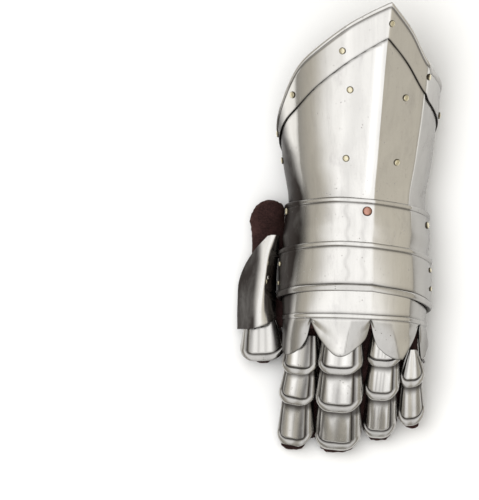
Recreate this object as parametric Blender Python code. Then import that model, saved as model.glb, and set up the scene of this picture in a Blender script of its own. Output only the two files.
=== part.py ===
"""A left-hand steel gauntlet in the gothic style, lying palm down.

The cuff has a keel ridge, a crease and an applied border that comes to a point. Two wrist lames
turn on rivets at their sides, and the hand plate ends in four petals. Scales cover the fingers
and the thumb of a suede glove, and a strap with a buckle closes the wrist. X runs from the thumb
to the little finger, Y up the forearm and Z up from the surface that the gauntlet lies on.
"""

import math

import bmesh
import bpy
import numpy as np
from mathutils import Vector

# Overall sizes in metres
LENGTH = 0.336
WIDTH = 0.152
HEIGHT = 0.092

# Thicknesses and gaps
PLATE = 0.0012
BORDER_PLATE = 0.0010
SUEDE = 0.0016
STRAP = 0.0018
GAP = 0.0004
LAP_GAP = 0.0012

# Raised edges
BEAD_LIFT = 0.0008
ROLL_LIFT = 0.0016
BEAD_WIDTH = 0.0036
RIM_WIDTH = 0.0046
RIM_LIFT = 0.0010
PETAL_BULGE = 0.0018

# Rivets
HEAD_RADIUS = 0.0026
HEAD_HEIGHT = 0.0014
COPPER_RADIUS = 0.0036
SMALL_RADIUS = 0.0019
SHANK_RADIUS = 0.0011
HOLE_RADIUS = 0.0015
TAIL_RADIUS = 0.0018
TAIL_GAP = 0.0010
TAIL_HEIGHT = 0.0006

# Strap and buckle
STRAP_WIDTH = 0.016
STRAP_PLACE = 0.082
BUCKLE_PLACE = (-0.145, 0.104)
BUCKLE_LENGTH = 0.019
BUCKLE_WIDTH = 0.024
WIRE = 0.0022
PRONG = 0.0016

# The body surface: eight lines run along the gauntlet. Each pair is a share of WIDTH from the
# middle and a share of HEIGHT, at the stations, which are shares of LENGTH from the middle.
STATIONS = (-0.299, -0.210, -0.132, -0.054, 0.009, 0.058, 0.136, 0.237, 0.371, 0.504)
THUMB_EDGE = (
    (-0.229, 0.217), (-0.229, 0.196), (-0.229, 0.152), (-0.214, 0.141), (-0.200, 0.130),
    (-0.204, 0.000), (-0.224, 0.000), (-0.239, 0.000), (-0.239, 0.000), (-0.239, 0.000),
)
THUMB_SIDE = (
    (-0.273, 0.348), (-0.273, 0.385), (-0.281, 0.375), (-0.273, 0.370), (-0.249, 0.359),
    (-0.246, 0.340), (-0.271, 0.370), (-0.293, 0.391), (-0.303, 0.402), (-0.308, 0.413),
)
THUMB_SHOULDER = (
    (-0.209, 0.545), (-0.209, 0.620), (-0.195, 0.640), (-0.180, 0.620), (-0.170, 0.609),
    (-0.170, 0.576), (-0.185, 0.641), (-0.195, 0.707), (-0.195, 0.745), (-0.190, 0.761),
)
BACK = (
    (-0.022, 0.641), (-0.022, 0.728), (-0.012, 0.772), (-0.007, 0.755), (-0.007, 0.750),
    (-0.012, 0.717), (-0.007, 0.783), (0.007, 0.859), (0.022, 0.915), (0.037, 0.935),
)
RIDGE = (
    (0.160, 0.658), (0.160, 0.742), (0.165, 0.783), (0.165, 0.772), (0.170, 0.772),
    (0.175, 0.745), (0.190, 0.821), (0.209, 0.908), (0.234, 0.967), (0.264, 0.989),
)
CREASE = (
    (0.347, 0.576), (0.347, 0.652), (0.357, 0.668), (0.352, 0.647), (0.347, 0.630),
    (0.347, 0.604), (0.377, 0.641), (0.411, 0.696), (0.446, 0.728), (0.480, 0.745),
)
LITTLE_SIDE = (
    (0.431, 0.359), (0.429, 0.402), (0.443, 0.395), (0.436, 0.380), (0.429, 0.370),
    (0.426, 0.348), (0.456, 0.370), (0.483, 0.391), (0.500, 0.402), (0.520, 0.413),
)
LITTLE_EDGE = (
    (0.406, 0.217), (0.401, 0.196), (0.411, 0.152), (0.401, 0.141), (0.397, 0.130),
    (0.392, 0.000), (0.416, 0.000), (0.436, 0.000), (0.451, 0.000), (0.460, 0.000),
)
LINES = (
    THUMB_EDGE, THUMB_SIDE, THUMB_SHOULDER, BACK, RIDGE, CREASE, LITTLE_SIDE, LITTLE_EDGE,
)
# How sharp the ridge and the crease are at each station, from 0 for round to 1 for a fold
FOLD = (0.15, 0.15, 0.15, 0.2, 0.3, 1.0, 1.0, 1.0, 1.0, 1.0)
WRIST_STATION = 5

# Edges of the plates. A place counts the eight lines from 0 to 7, and along is a share of LENGTH.
BORDER_TOP = (
    (0.0, 0.190), (1.0, 0.228), (1.5, 0.288), (2.0, 0.357), (2.5, 0.404), (3.0, 0.445),
    (3.5, 0.475), (4.0, 0.500), (4.5, 0.442), (5.0, 0.366), (5.5, 0.341), (6.0, 0.319),
    (7.0, 0.250),
)
BORDER_FOOT = (
    (0.0, 0.125), (1.0, 0.194), (1.5, 0.234), (2.0, 0.268), (2.5, 0.316), (3.0, 0.357),
    (3.5, 0.390), (4.0, 0.419), (4.5, 0.364), (5.0, 0.295), (5.5, 0.263), (6.0, 0.232),
    (7.0, 0.170),
)
BORDER_ENDS = (0.08, 6.92)
CUFF_FOOT = (
    (0.0, 0.050), (1.0, 0.013), (2.0, 0.021), (3.0, 0.044), (4.0, 0.042), (5.0, 0.012),
    (6.0, -0.018), (7.0, 0.050),
)
WRIST_TOP = (
    (0.3, 0.030), (1.0, 0.047), (2.0, 0.058), (3.0, 0.065), (4.0, 0.060), (5.0, 0.046),
    (6.0, 0.028), (6.7, 0.008),
)
WRIST_FOOT = (
    (0.3, -0.094), (1.0, -0.103), (2.0, -0.089), (3.0, -0.071), (4.0, -0.071),
    (5.0, -0.089), (6.0, -0.116), (6.7, -0.105),
)
SECOND_TOP = (
    (0.3, -0.070), (1.0, -0.055), (2.0, -0.040), (3.0, -0.033), (4.0, -0.037), (5.0, -0.052),
    (6.0, -0.074), (6.7, -0.090),
)
SECOND_FOOT = (
    (0.3, -0.172), (1.0, -0.161), (2.0, -0.149), (3.0, -0.144), (4.0, -0.146), (5.0, -0.163),
    (6.0, -0.185), (6.7, -0.195),
)
HAND_TOP = (
    (0.3, -0.118), (1.0, -0.109), (2.0, -0.112), (3.0, -0.112), (4.0, -0.112), (5.0, -0.118),
    (6.0, -0.123), (6.7, -0.130),
)
KNUCKLE = (
    (0.3, -0.208), (1.0, -0.203), (2.0, -0.200), (3.0, -0.200), (4.0, -0.203), (5.0, -0.209),
    (6.0, -0.220), (6.7, -0.224),
)
# The foot of the petals, with 1 in the last column at a notch or a corner
PETAL_FOOT = (
    (0.30, -0.236, 0), (1.00, -0.268, 0), (1.45, -0.285, 0), (1.75, -0.286, 0),
    (2.00, -0.279, 0), (2.23, -0.264, 0), (2.34, -0.245, 0), (2.42, -0.213, 1),
    (2.53, -0.233, 0), (2.66, -0.253, 0), (2.82, -0.272, 0), (3.00, -0.287, 0),
    (3.20, -0.291, 0), (3.38, -0.286, 0), (3.58, -0.274, 0), (3.76, -0.262, 0),
    (3.91, -0.243, 0), (4.00, -0.214, 1), (4.06, -0.240, 0), (4.14, -0.264, 0),
    (4.28, -0.280, 0), (4.46, -0.292, 0), (4.62, -0.297, 0), (4.79, -0.298, 1),
    (5.00, -0.273, 0), (5.28, -0.247, 0), (5.54, -0.219, 1), (5.60, -0.282, 0),
    (5.78, -0.292, 0), (6.00, -0.276, 0), (6.70, -0.242, 0),
)
PETAL_SIDES = (0.30, 2.42, 4.00, 5.54, 6.70)

# Rivets: across is a share of WIDTH, place counts the lines, along is a share of LENGTH
BORDER_RIVETS = ((0.259, 0.452), (0.022, 0.391), (-0.219, 0.293), (0.438, 0.333))
BORDER_SIDE_RIVETS = ((0.92, 0.206), (6.08, 0.247))
CUFF_RIVETS = ((0.057, 0.304), (0.037, 0.151), (0.332, 0.286), (0.288, 0.142))
CUFF_SIDE_RIVETS = ((0.95, 0.146),)
COPPER_RIVET = (0.142, 0.031)
# Pivot rivets: the places on the two sides and where they are along
WRIST_PIVOTS = ((1.22, 0.032), (5.80, 0.001))
SECOND_PIVOTS = ((1.18, -0.085), (5.85, -0.099))
HAND_PIVOTS = ((1.10, -0.127), (5.88, -0.140))

# Fingers: rows of across, along and height of the top of the finger, as shares of WIDTH, LENGTH
# and HEIGHT
INDEX_PATH = (
    (-0.187, -0.232, 0.538), (-0.190, -0.266, 0.500), (-0.197, -0.330, 0.430),
    (-0.212, -0.397, 0.310), (-0.222, -0.487, 0.133),
)
MIDDLE_PATH = (
    (0.012, -0.232, 0.665), (0.011, -0.266, 0.635), (0.006, -0.330, 0.565),
    (-0.002, -0.413, 0.400), (-0.009, -0.497, 0.119),
)
RING_PATH = (
    (0.230, -0.232, 0.655), (0.227, -0.266, 0.625), (0.220, -0.313, 0.575),
    (0.208, -0.386, 0.425), (0.198, -0.469, 0.135),
)
LITTLE_PATH = (
    (0.372, -0.252, 0.550), (0.370, -0.283, 0.515), (0.362, -0.350, 0.415),
    (0.360, -0.442, 0.210),
)
# Where the scales of each finger begin and end, as shares of LENGTH, and their half width and
# the depth of their sides, as shares of WIDTH
INDEX_SCALES = (
    (-0.243, -0.330, 0.077, 0.058), (-0.312, -0.397, 0.077, 0.060),
    (-0.380, -0.489, 0.073, 0.058),
)
MIDDLE_SCALES = (
    (-0.243, -0.330, 0.094, 0.058), (-0.312, -0.413, 0.099, 0.062),
    (-0.396, -0.496, 0.098, 0.060),
)
RING_SCALES = (
    (-0.243, -0.313, 0.068, 0.056), (-0.296, -0.386, 0.068, 0.058),
    (-0.369, -0.469, 0.067, 0.056),
)
LITTLE_SCALES = ((-0.277, -0.357, 0.045, 0.038), (-0.340, -0.442, 0.047, 0.044))
INDEX_ROLL = 18.0
MIDDLE_ROLL = 9.0
RING_ROLL = 6.0
LITTLE_ROLL = -8.0
SCALE_CORNER = 0.17
LITTLE_LEAF = 0.75
THUMB_SIDE_LEAF = 0.6
SHINGLE_START = -0.0006
SHINGLE_LIFT = 0.0030

# The cross section of a scale: across as a share of its half width, depth as a share of its
# side depth
SCALE_SECTION = (
    (-1.00, 1.00), (-1.00, 0.58), (-0.93, 0.22), (-0.70, 0.04), (0.00, 0.00),
    (0.70, 0.04), (0.93, 0.22), (1.00, 0.58), (1.00, 1.00),
)

# Thumb plate: rows of along, then across and height of its left edge, ridge, face and right edge
THUMB_PLATE = (
    (-0.020, (-0.345, 0.290), (-0.330, 0.330), (-0.306, 0.325), (-0.288, 0.300)),
    (-0.054, (-0.415, 0.200), (-0.355, 0.355), (-0.326, 0.345), (-0.296, 0.300)),
    (-0.116, (-0.487, 0.120), (-0.376, 0.370), (-0.342, 0.350), (-0.306, 0.290)),
    (-0.174, (-0.499, 0.100), (-0.400, 0.360), (-0.350, 0.340), (-0.308, 0.280)),
    (-0.230, (-0.500, 0.150), (-0.420, 0.345), (-0.355, 0.335), (-0.304, 0.300)),
)
THUMB_PLATE_FOOT = ((0.0, -0.230), (1.0, -0.228), (2.0, -0.219), (3.0, -0.206))
THUMB_PATH = (
    (-0.378, -0.200, 0.240), (-0.376, -0.232, 0.242), (-0.372, -0.270, 0.225),
    (-0.371, -0.300, 0.185),
)
THUMB_SCALE = (-0.210, -0.299, 0.094, 0.055)
THUMB_LEAF = 0.25
THUMB_RIVET = (-0.346, -0.115)

# The thumb of the glove: across, along, height, half width and half height of its rings, as
# shares of WIDTH, LENGTH, HEIGHT, WIDTH and HEIGHT
THUMB_RINGS = (
    (-0.335, 0.058, 0.215, 0.030, 0.040), (-0.340, 0.050, 0.212, 0.055, 0.075),
    (-0.352, 0.025, 0.190, 0.080, 0.095), (-0.358, -0.018, 0.130, 0.072, 0.080),
    (-0.368, -0.078, 0.145, 0.058, 0.078), (-0.375, -0.150, 0.140, 0.058, 0.080),
    (-0.376, -0.215, 0.115, 0.056, 0.072), (-0.373, -0.270, 0.100, 0.064, 0.075),
    (-0.371, -0.298, 0.092, 0.048, 0.060), (-0.371, -0.306, 0.090, 0.022, 0.030),
)
WEB_RINGS = (
    (-0.265, -0.160, 0.105, 0.100, 0.040), (-0.255, -0.172, 0.105, 0.125, 0.072),
    (-0.255, -0.212, 0.105, 0.125, 0.072), (-0.265, -0.226, 0.105, 0.100, 0.040),
)
PALM_STATIONS = (-0.156, -0.180, -0.205, -0.228)
PALM_HEIGHT = 0.085
GLOVE_CLEARANCE = 0.0008
# Where the glove's fingers part from each other and its thumb from the palm, as shares of WIDTH
FINGER_SEAMS = (-0.102, 0.122, 0.306)
THUMB_SEAM = -0.309
THUMB_SEAM_TOP = -0.150
SEAM_STEP = 0.0001
PLACE_STEP = 0.4
SLOPE_STEP = 0.002
STALL_HEIGHT = 0.68
LITTLE_STALL_HEIGHT = 0.92
STALL_TIP = 0.036
STALL_ROOT = 0.012
LITTLE_DROP = 0.0022


# Shared shapes

def through(knots, values, at, keen=0.0):
    """A smooth curve through values at knots. Where keen is 1 the curve turns a corner."""
    knots = np.asarray(knots, float)
    values = np.asarray(values, float).reshape(len(knots), -1)
    keen = np.asarray(keen, float)
    if keen.ndim == 1:
        keen = keen[:, None]
    keen = np.broadcast_to(keen, values.shape)
    at = np.clip(np.asarray(at, float), knots[0], knots[-1])
    steps = np.diff(knots)[:, None]
    slopes = np.diff(values, axis=0) / steps
    before = np.vstack([slopes[:1], slopes])
    after = np.vstack([slopes, slopes[-1:]])
    ahead = np.vstack([steps, steps[-1:]])
    behind = np.vstack([steps[:1], steps])
    smooth = (before * ahead + after * behind) / (ahead + behind)
    into = smooth + (before - smooth) * keen
    out = smooth + (after - smooth) * keen
    i = np.clip(np.searchsorted(knots, at, side="right") - 1, 0, len(knots) - 2)
    s = ((at - knots[i]) / np.diff(knots)[i])[:, None]
    h = np.diff(knots)[i][:, None]
    return (
        (2 * s**3 - 3 * s**2 + 1) * values[i]
        + (s**3 - 2 * s**2 + s) * h * out[i]
        + (3 * s**2 - 2 * s**3) * values[i + 1]
        + (s**3 - s**2) * h * into[i + 1]
    )


def edge(rows, place):
    """Where an edge runs, as a share of LENGTH, at each place round the body."""
    rows = np.asarray(rows, float)
    keen = rows[:, 2] if rows.shape[1] > 2 else (rows[:, 0] == 4.0).astype(float)
    return through(rows[:, 0], rows[:, 1], np.ravel(place), keen)[:, 0].reshape(np.shape(place))


def body(place, along):
    """Points on the body surface, at places round it and shares of LENGTH along it."""
    shape = np.shape(place)
    place = np.clip(np.ravel(place), 0.0, 7.0)
    along = np.ravel(along)
    table = np.array(LINES, float).transpose(1, 0, 2).reshape(len(STATIONS), 16)
    keen = np.zeros(table.shape)
    keen[WRIST_STATION, [0, 1, 14, 15]] = 1.0
    points = through(STATIONS, table, along, keen).reshape(-1, 8, 2)
    fold = through(STATIONS, FOLD, along)[:, 0]
    i = np.clip(place.astype(int), 0, 6)
    s = (place - i)[:, None]
    n = np.arange(len(place))

    def tangent(k, step):
        near = points[n, np.clip(k, 0, 7)]
        one_side = (points[n, np.clip(k + step, 0, 7)] - near) * step
        other = (near - points[n, np.clip(k - step, 0, 7)]) * step
        both = np.where(((k == 0) | (k == 7))[:, None], one_side, (one_side + other) / 2)
        share = np.where((k == 4) | (k == 5), fold, 0.0)[:, None]
        return both + (one_side - both) * share

    flat = (
        (2 * s**3 - 3 * s**2 + 1) * points[n, i]
        + (s**3 - 2 * s**2 + s) * tangent(i, 1)
        + (3 * s**2 - 2 * s**3) * points[n, i + 1]
        + (s**3 - s**2) * tangent(i + 1, -1)
    )
    out = np.stack([flat[:, 0] * WIDTH, along * LENGTH, flat[:, 1] * HEIGHT], axis=1)
    return out.reshape(*shape, 3)


def units(vectors):
    return vectors / np.linalg.norm(vectors, axis=-1, keepdims=True)


def outward(place, along):
    """The unit normal of the body surface, pointing out."""
    place = np.asarray(place, float)
    along = np.asarray(along, float)
    across = body(np.minimum(place + 0.02, 7.0), along) - body(np.maximum(place - 0.02, 0.0), along)
    up = body(place, np.minimum(along + 0.002, STATIONS[-1]))
    down = body(place, np.maximum(along - 0.002, STATIONS[0]))
    return units(np.cross(across, up - down))


def place_at(across, along):
    """The place round the back whose point lies at this share of WIDTH."""
    places = np.linspace(1.0, 6.0, 501)
    x = body(places, np.full(places.shape, along))[:, 0]
    return float(np.interp(across * WIDTH, x, places))


def new_object(name, verts, faces, material, smooth=False):
    mesh = bpy.data.meshes.new(name)
    mesh.from_pydata([tuple(v) for v in verts], [], faces)
    work = bmesh.new()
    work.from_mesh(mesh)
    bmesh.ops.remove_doubles(work, verts=work.verts, dist=1e-6)
    bmesh.ops.recalc_face_normals(work, faces=work.faces)
    work.to_mesh(mesh)
    work.free()
    for polygon in mesh.polygons:
        polygon.use_smooth = smooth
    obj = bpy.data.objects.new(name, mesh)
    bpy.context.scene.collection.objects.link(obj)
    if material:
        mesh.materials.append(material)
    return obj


def triangulated(obj):
    work = bmesh.new()
    work.from_mesh(obj.data)
    bmesh.ops.triangulate(work, faces=work.faces)
    work.to_mesh(obj.data)
    work.free()
    return obj


def grid_solid(name, outer, inner, material):
    """A closed sheet between two grids of points that have the same number of rows and columns."""
    columns, rows = outer.shape[:2]
    count = columns * rows

    def outside(i, j):
        return i * rows + j

    def inside(i, j):
        return count + i * rows + j

    faces = []
    for i in range(columns - 1):
        for j in range(rows - 1):
            faces.append((outside(i, j), outside(i + 1, j), outside(i + 1, j + 1), outside(i, j + 1)))
            faces.append((inside(i, j), inside(i, j + 1), inside(i + 1, j + 1), inside(i + 1, j)))
    for i in range(columns - 1):
        for j in (0, rows - 1):
            faces.append((outside(i, j), outside(i + 1, j), inside(i + 1, j), inside(i, j)))
    for j in range(rows - 1):
        for i in (0, columns - 1):
            faces.append((outside(i, j), outside(i, j + 1), inside(i, j + 1), inside(i, j)))
    verts = np.concatenate([outer.reshape(-1, 3), inner.reshape(-1, 3)])
    return triangulated(new_object(name, verts, faces, material))


def loft(name, rings, material=None):
    """A closed solid through rings that have the same number of points."""
    rings = np.asarray(rings)
    count = rings.shape[1]
    faces = [tuple(range(count)), tuple(range((len(rings) - 1) * count, len(rings) * count))]
    for i in range(len(rings) - 1):
        for j in range(count):
            k = (j + 1) % count
            faces.append((i * count + j, i * count + k, (i + 1) * count + k, (i + 1) * count + j))
    return new_object(name, rings.reshape(-1, 3), faces, material)


def lathe(name, origin, axis, profile, sides, material=None):
    """A turned solid: profile rows are radius and height along the axis."""
    axis = Vector(axis).normalized()
    side = axis.orthogonal().normalized()
    other = axis.cross(side)
    rings = []
    for radius, height in profile:
        ring = []
        for k in range(sides):
            turn = 2 * math.pi * k / sides
            spoke = side * math.cos(turn) + other * math.sin(turn)
            ring.append(Vector(origin) + axis * height + spoke * radius)
        rings.append(ring)
    return loft(name, rings, material)


def combine(target, tool, operation):
    """Applies a Boolean to target and removes the tool."""
    modifier = target.modifiers.new("combine", "BOOLEAN")
    modifier.operation = operation
    modifier.solver = "EXACT"
    modifier.object = tool
    graph = bpy.context.evaluated_depsgraph_get()
    mesh = bpy.data.meshes.new_from_object(target.evaluated_get(graph))
    target.modifiers.clear()
    old = target.data
    target.data = mesh
    bpy.data.meshes.remove(old)
    bpy.data.objects.remove(tool)
    return target


def pierce(target, points, axes, reach):
    """Cuts a round hole through target at each point."""
    for point, axis in zip(points, axes):
        profile = ((HOLE_RADIUS, -reach), (HOLE_RADIUS, reach))
        combine(target, lathe("cutter", point, axis, profile, 8), "DIFFERENCE")
    return target


# Materials

def material(name, colour, roughness, metallic):
    made = bpy.data.materials.new(name)
    made.use_nodes = True
    shader = made.node_tree.nodes["Principled BSDF"]
    shader.inputs["Base Color"].default_value = (*colour, 1.0)
    shader.inputs["Roughness"].default_value = roughness
    shader.inputs["Metallic"].default_value = metallic
    made.diffuse_color = (*colour, 1.0)
    return made


def polished_steel():
    return material("polished_steel", (0.72, 0.70, 0.67), 0.12, 1.0)


def brass():
    return material("brass", (0.86, 0.74, 0.45), 0.25, 1.0)


def copper():
    return material("copper", (0.80, 0.45, 0.32), 0.3, 1.0)


def suede():
    return material("suede", (0.055, 0.022, 0.016), 0.95, 0.0)


def strap_leather():
    return material("strap_leather", (0.06, 0.03, 0.02), 0.6, 0.0)


# Plates of the cuff, wrist and hand

def body_plate(name, places, alongs, outer_lift, inner_lift, made_of, level=False):
    """A plate over the body: alongs and the two lifts are grids of places by rows.

    Level makes the two long edges flat, so that the plate can lie on them.
    """
    grid = np.repeat(np.asarray(places, float)[:, None], alongs.shape[1], axis=1)
    points = body(grid, alongs)
    normals = outward(grid, alongs)
    outer = points + normals * outer_lift[..., None]
    inner = points + normals * inner_lift[..., None]
    if level:
        inner[[0, -1], :, 2] = outer[[0, -1], :, 2]
    return grid_solid(name, outer, inner, made_of)


def between(start, end, shares):
    """Rows of a grid from the start edge to the end edge, at the given shares of the way."""
    return start[:, None] + (end - start)[:, None] * np.asarray(shares, float)


def places_between(first, last, step):
    """Places round the body, with one on each of its lines, closer together at the sides."""
    count = int(round((last - first) / step))
    places = list(np.linspace(first, last, count + 1)) + [1.0, 2.0, 3.0, 4.0, 5.0, 6.0]
    places = sorted(p for p in places if first <= p <= last)
    kept = [places[0]]
    for p in places[1:]:
        if p - kept[-1] > step * 0.4:
            kept.append(p)
        elif p == round(p):
            kept[-1] = p
    kept[-1] = last
    return np.array(kept)


def cuff_plate(steel):
    places = places_between(0.0, 7.0, PLACE_STEP)
    top = edge(BORDER_TOP, places) - 0.004
    foot = edge(CUFF_FOOT, places)
    alongs = between(top, foot, (0.0, 0.22, 0.44, 0.66, 0.86, 0.95, 1.0))
    zero = np.zeros(alongs.shape)
    return body_plate("cuff_plate", places, alongs, zero, zero - PLATE, steel, level=True)


def border_lift(alongs, top):
    """The rolled edge along the top of the border."""
    away = (top[:, None] - alongs) * LENGTH
    return RIM_LIFT * np.clip(1.0 - np.abs(away / BEAD_WIDTH * 2 - 1.0), 0.0, 1.0)


def cuff_border(steel):
    places = places_between(0.0, 7.0, PLACE_STEP)
    places[[0, -1]] = BORDER_ENDS
    top = edge(BORDER_TOP, places)
    foot = edge(BORDER_FOOT, places)
    roll = BEAD_WIDTH / LENGTH
    alongs = np.stack(
        [top, top - roll / 2, top - roll, (top - roll) * 0.5 + foot * 0.5, foot], axis=1)
    base = np.full(alongs.shape, GAP + BORDER_PLATE)
    lifted = base + border_lift(alongs, top)
    return body_plate("cuff_border", places, alongs, lifted, base - BORDER_PLATE, steel)


def lame(name, top_rows, foot_rows, top_lift, foot_lift, bead, roll, steel):
    """A wrist lame: a bead runs along its top edge and, if asked, a roll along its foot."""
    places = places_between(top_rows[0][0], top_rows[-1][0], PLACE_STEP)
    top = edge(top_rows, places)
    foot = edge(foot_rows, places)
    shares = [0.0, bead / 2, bead, bead + 0.04]
    lifts = [0.0, BEAD_LIFT, 0.0, 0.0]
    if roll:
        shares += [0.6, 1.0 - roll, 1.0 - roll / 2, 1.0]
        lifts += [0.0, 0.0, ROLL_LIFT, ROLL_LIFT * 0.4]
    else:
        shares += [0.42, 0.55, 0.67, 1.0]
        lifts += [0.0, 0.0, 0.0, 0.0]
    alongs = between(top, foot, shares)
    blend = np.clip((np.asarray(shares) - 0.42) / 0.25, 0.0, 1.0)
    blend = blend * blend * (3 - 2 * blend)
    base = np.broadcast_to(top_lift + (foot_lift - top_lift) * blend, alongs.shape)
    return body_plate(name, places, alongs, base + np.asarray(lifts), base - PLATE, steel)


def petal_lift(places, drop):
    """How far the petals stand out: drop is 0 at the knuckles and 1 at the foot."""
    sides = np.asarray(PETAL_SIDES)
    i = np.clip(np.searchsorted(sides, places, side="right") - 1, 0, len(sides) - 2)
    middle = (sides[i] + sides[i + 1]) / 2
    half = (sides[i + 1] - sides[i]) / 2
    bulge = 1.0 - ((places - middle) / half) ** 2
    return PETAL_BULGE * bulge[:, None] * np.sin(np.clip(drop, 0.0, 1.0) * math.pi * 0.6)


def hand_plate(steel):
    knots = [row[0] for row in PETAL_FOOT]
    places = np.array(sorted([*knots, 0.65, 6.35]))
    top = edge(HAND_TOP, places)
    knuckle = edge(KNUCKLE, places)
    foot = edge(PETAL_FOOT, places)
    bead = BEAD_WIDTH / LENGTH
    upper = between(top, knuckle + bead / 2, (0.0, 0.35, 0.7, 1.0))
    beads = np.stack([knuckle, knuckle - bead / 2], axis=1)
    petals = between(knuckle - bead / 2, foot, (0.3, 0.65, 1.0))
    alongs = np.concatenate([upper, beads, petals], axis=1)
    drop = np.concatenate([np.zeros(6), (0.3, 0.65, 1.0)])
    bulge = petal_lift(places, drop)
    raised = np.zeros(9)
    raised[4] = BEAD_LIFT
    return body_plate("hand_plate", places, alongs, bulge + raised, bulge - PLATE, steel)


# Fingers

def along_finger(path, along):
    """Points on the top of a finger and its two directions there, to the side and up."""
    rows = np.asarray(path, float)[::-1]
    at = np.ravel(along)
    sizes = np.array([WIDTH, LENGTH, HEIGHT])

    def top(where):
        spot = through(rows[:, 1], rows[:, [0, 2]], where)
        return np.stack([spot[:, 0], where, spot[:, 1]], axis=1) * sizes

    middle = np.clip(at, rows[0, 1] + SLOPE_STEP, rows[-1, 1] - SLOPE_STEP)
    ahead = units(top(middle + SLOPE_STEP) - top(middle - SLOPE_STEP))
    side = np.broadcast_to([1.0, 0.0, 0.0], ahead.shape)
    up = units(np.cross(side, ahead))
    return top(at), units(np.cross(ahead, up)), up


def rolled(side, up, roll):
    """Turns a finger's frame towards the thumb by roll degrees."""
    turn = math.radians(roll)
    new_up = up * math.cos(turn) - side * math.sin(turn)
    new_side = side * math.cos(turn) + up * math.sin(turn)
    return new_side, new_up


def rim_lift(away):
    """The rounded rim of a scale, by the distance from its edge in metres."""
    share = away / RIM_WIDTH
    return RIM_LIFT * np.clip(1.0 - np.abs(share * 2 - 1.0), 0.0, 1.0)


def finger_scale(name, path, span, roll, steel, leaf=0.0):
    """One scale. Leaf narrows its upper end by that share."""
    start, end, half_share, depth_share = span
    half = half_share * WIDTH
    depth = depth_share * WIDTH
    length = (start - end) * LENGTH
    rim = RIM_WIDTH / length
    shares = np.array([0.0, 0.35, 0.7, 1.0 - rim, 1.0 - rim / 2, 1.0])
    section = np.asarray(SCALE_SECTION, float)
    columns = len(section)
    edge_share = np.clip((np.abs(section[:, 0]) - 0.5) / 0.5, 0.0, 1.0) ** 3
    outer = np.zeros((columns, len(shares), 3))
    inner = np.zeros(outer.shape)
    for i in range(columns):
        reach = 1.0 - SCALE_CORNER * edge_share[i]
        alongs = start + (end - start) * shares * reach
        top, side, up = along_finger(path, alongs)
        side, up = rolled(side, up, roll)
        one_side = leaf if section[i, 0] > 0 else leaf * THUMB_SIDE_LEAF
        narrow = 1.0 - one_side * (1.0 - shares) ** 1.5
        x = section[i, 0] * half * narrow
        drop = section[i, 1] * depth * narrow
        lift = SHINGLE_START + SHINGLE_LIFT * shares
        away_side = (1.0 - abs(section[i, 0])) * half + (1.0 - section[i, 1]) * depth
        away_end = (1.0 - shares) * length
        lift_rim = rim_lift(np.minimum(away_side, away_end))
        base = top + side * x[:, None] - up * drop[:, None]
        shape_normal = units(
            side * (abs(section[i, 0]) ** 6 * math.copysign(1.0, section[i, 0])
                    if section[i, 0] else 0.0)
            + up * max(0.05, 1.0 - section[i, 1] * 1.4))
        outer[i] = base + shape_normal * (lift + lift_rim)[:, None]
        inner[i] = base + shape_normal * (lift - PLATE)[:, None]
    return grid_solid(name, outer, inner, steel)


def ring_points(centre, side, up, half_width, half_height, sides):
    points = []
    for k in range(sides):
        turn = 2 * math.pi * k / sides
        across = side * (half_width * math.cos(turn))
        points.append(centre + across + up * (half_height * math.sin(turn)))
    return np.array(points)


def finger_stall(path, scales, roll, drop, height, wall, sides=8):
    """The suede of one finger as a solid, made smaller by wall."""
    start = PALM_STATIONS[-1] + STALL_ROOT
    alongs = np.array(
        [start, *(np.mean(s[:2]) for s in scales[:-1]), scales[-1][0], scales[-1][1] + 0.030])
    halves = np.interp(-alongs, [-s[1] for s in scales], [s[2] for s in scales]) * WIDTH
    top, side, up = along_finger(path, alongs)
    side, up = rolled(side, up, roll)
    rings = []
    for i in range(len(alongs)):
        half_width = halves[i] - PLATE - GLOVE_CLEARANCE
        half_height = halves[i] * height
        centre = top[i] - up[i] * (PLATE + GLOVE_CLEARANCE + drop + half_height)
        rings.append(ring_points(
            centre, side[i], up[i], half_width - wall, half_height - wall, sides))
    base = rings[-1]
    centre = base.mean(axis=0)
    reach = STALL_TIP * LENGTH - wall
    onward = -np.cross(up[-1], side[-1])
    for share, size in ((0.65, 0.84), (1.0, 0.35)):
        rings.append(centre + onward * reach * share + (base - centre) * size)
    return rings


def flat_rings(rows, wall, sides=10):
    """Rings across the thumb of the glove, made smaller by wall."""
    rings = []
    for across, along, height, half_width, half_height in rows:
        centre = np.array([across * WIDTH, along * LENGTH, height * HEIGHT])
        rings.append(ring_points(
            centre, np.array([1.0, 0.0, 0.0]), np.array([0.0, 0.0, 1.0]),
            half_width * WIDTH - wall, half_height * HEIGHT - wall, sides))
    if wall:
        rings[0][:, 1] -= wall
        rings[-1][:, 1] += wall
    return rings


def palm_rings(wall, reach):
    """Rings round the hand, inside the hand plate and closed across the palm."""
    rings = []
    for k, along in enumerate(PALM_STATIONS):
        places = np.linspace(0.3, 6.7, 14)
        where = np.full(places.shape, along)
        lift = PLATE + GLOVE_CLEARANCE + wall
        back = body(places, where) - outward(places, where) * lift
        left, right = back[0], back[-1]
        palm = []
        for share in (0.05, 0.35, 0.65, 0.95):
            height = PALM_HEIGHT * HEIGHT + wall
            if share in (0.05, 0.95):
                height += 0.02 * HEIGHT
            palm.append([right[0] + (left[0] - right[0]) * share, along * LENGTH, height])
        ring = np.concatenate([back, palm])
        ring[:, 1] = along * LENGTH
        rings.append(ring)
    rings[0][:, 1] += reach
    if wall:
        rings[-1][:, 1] += wall
    return rings


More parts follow.
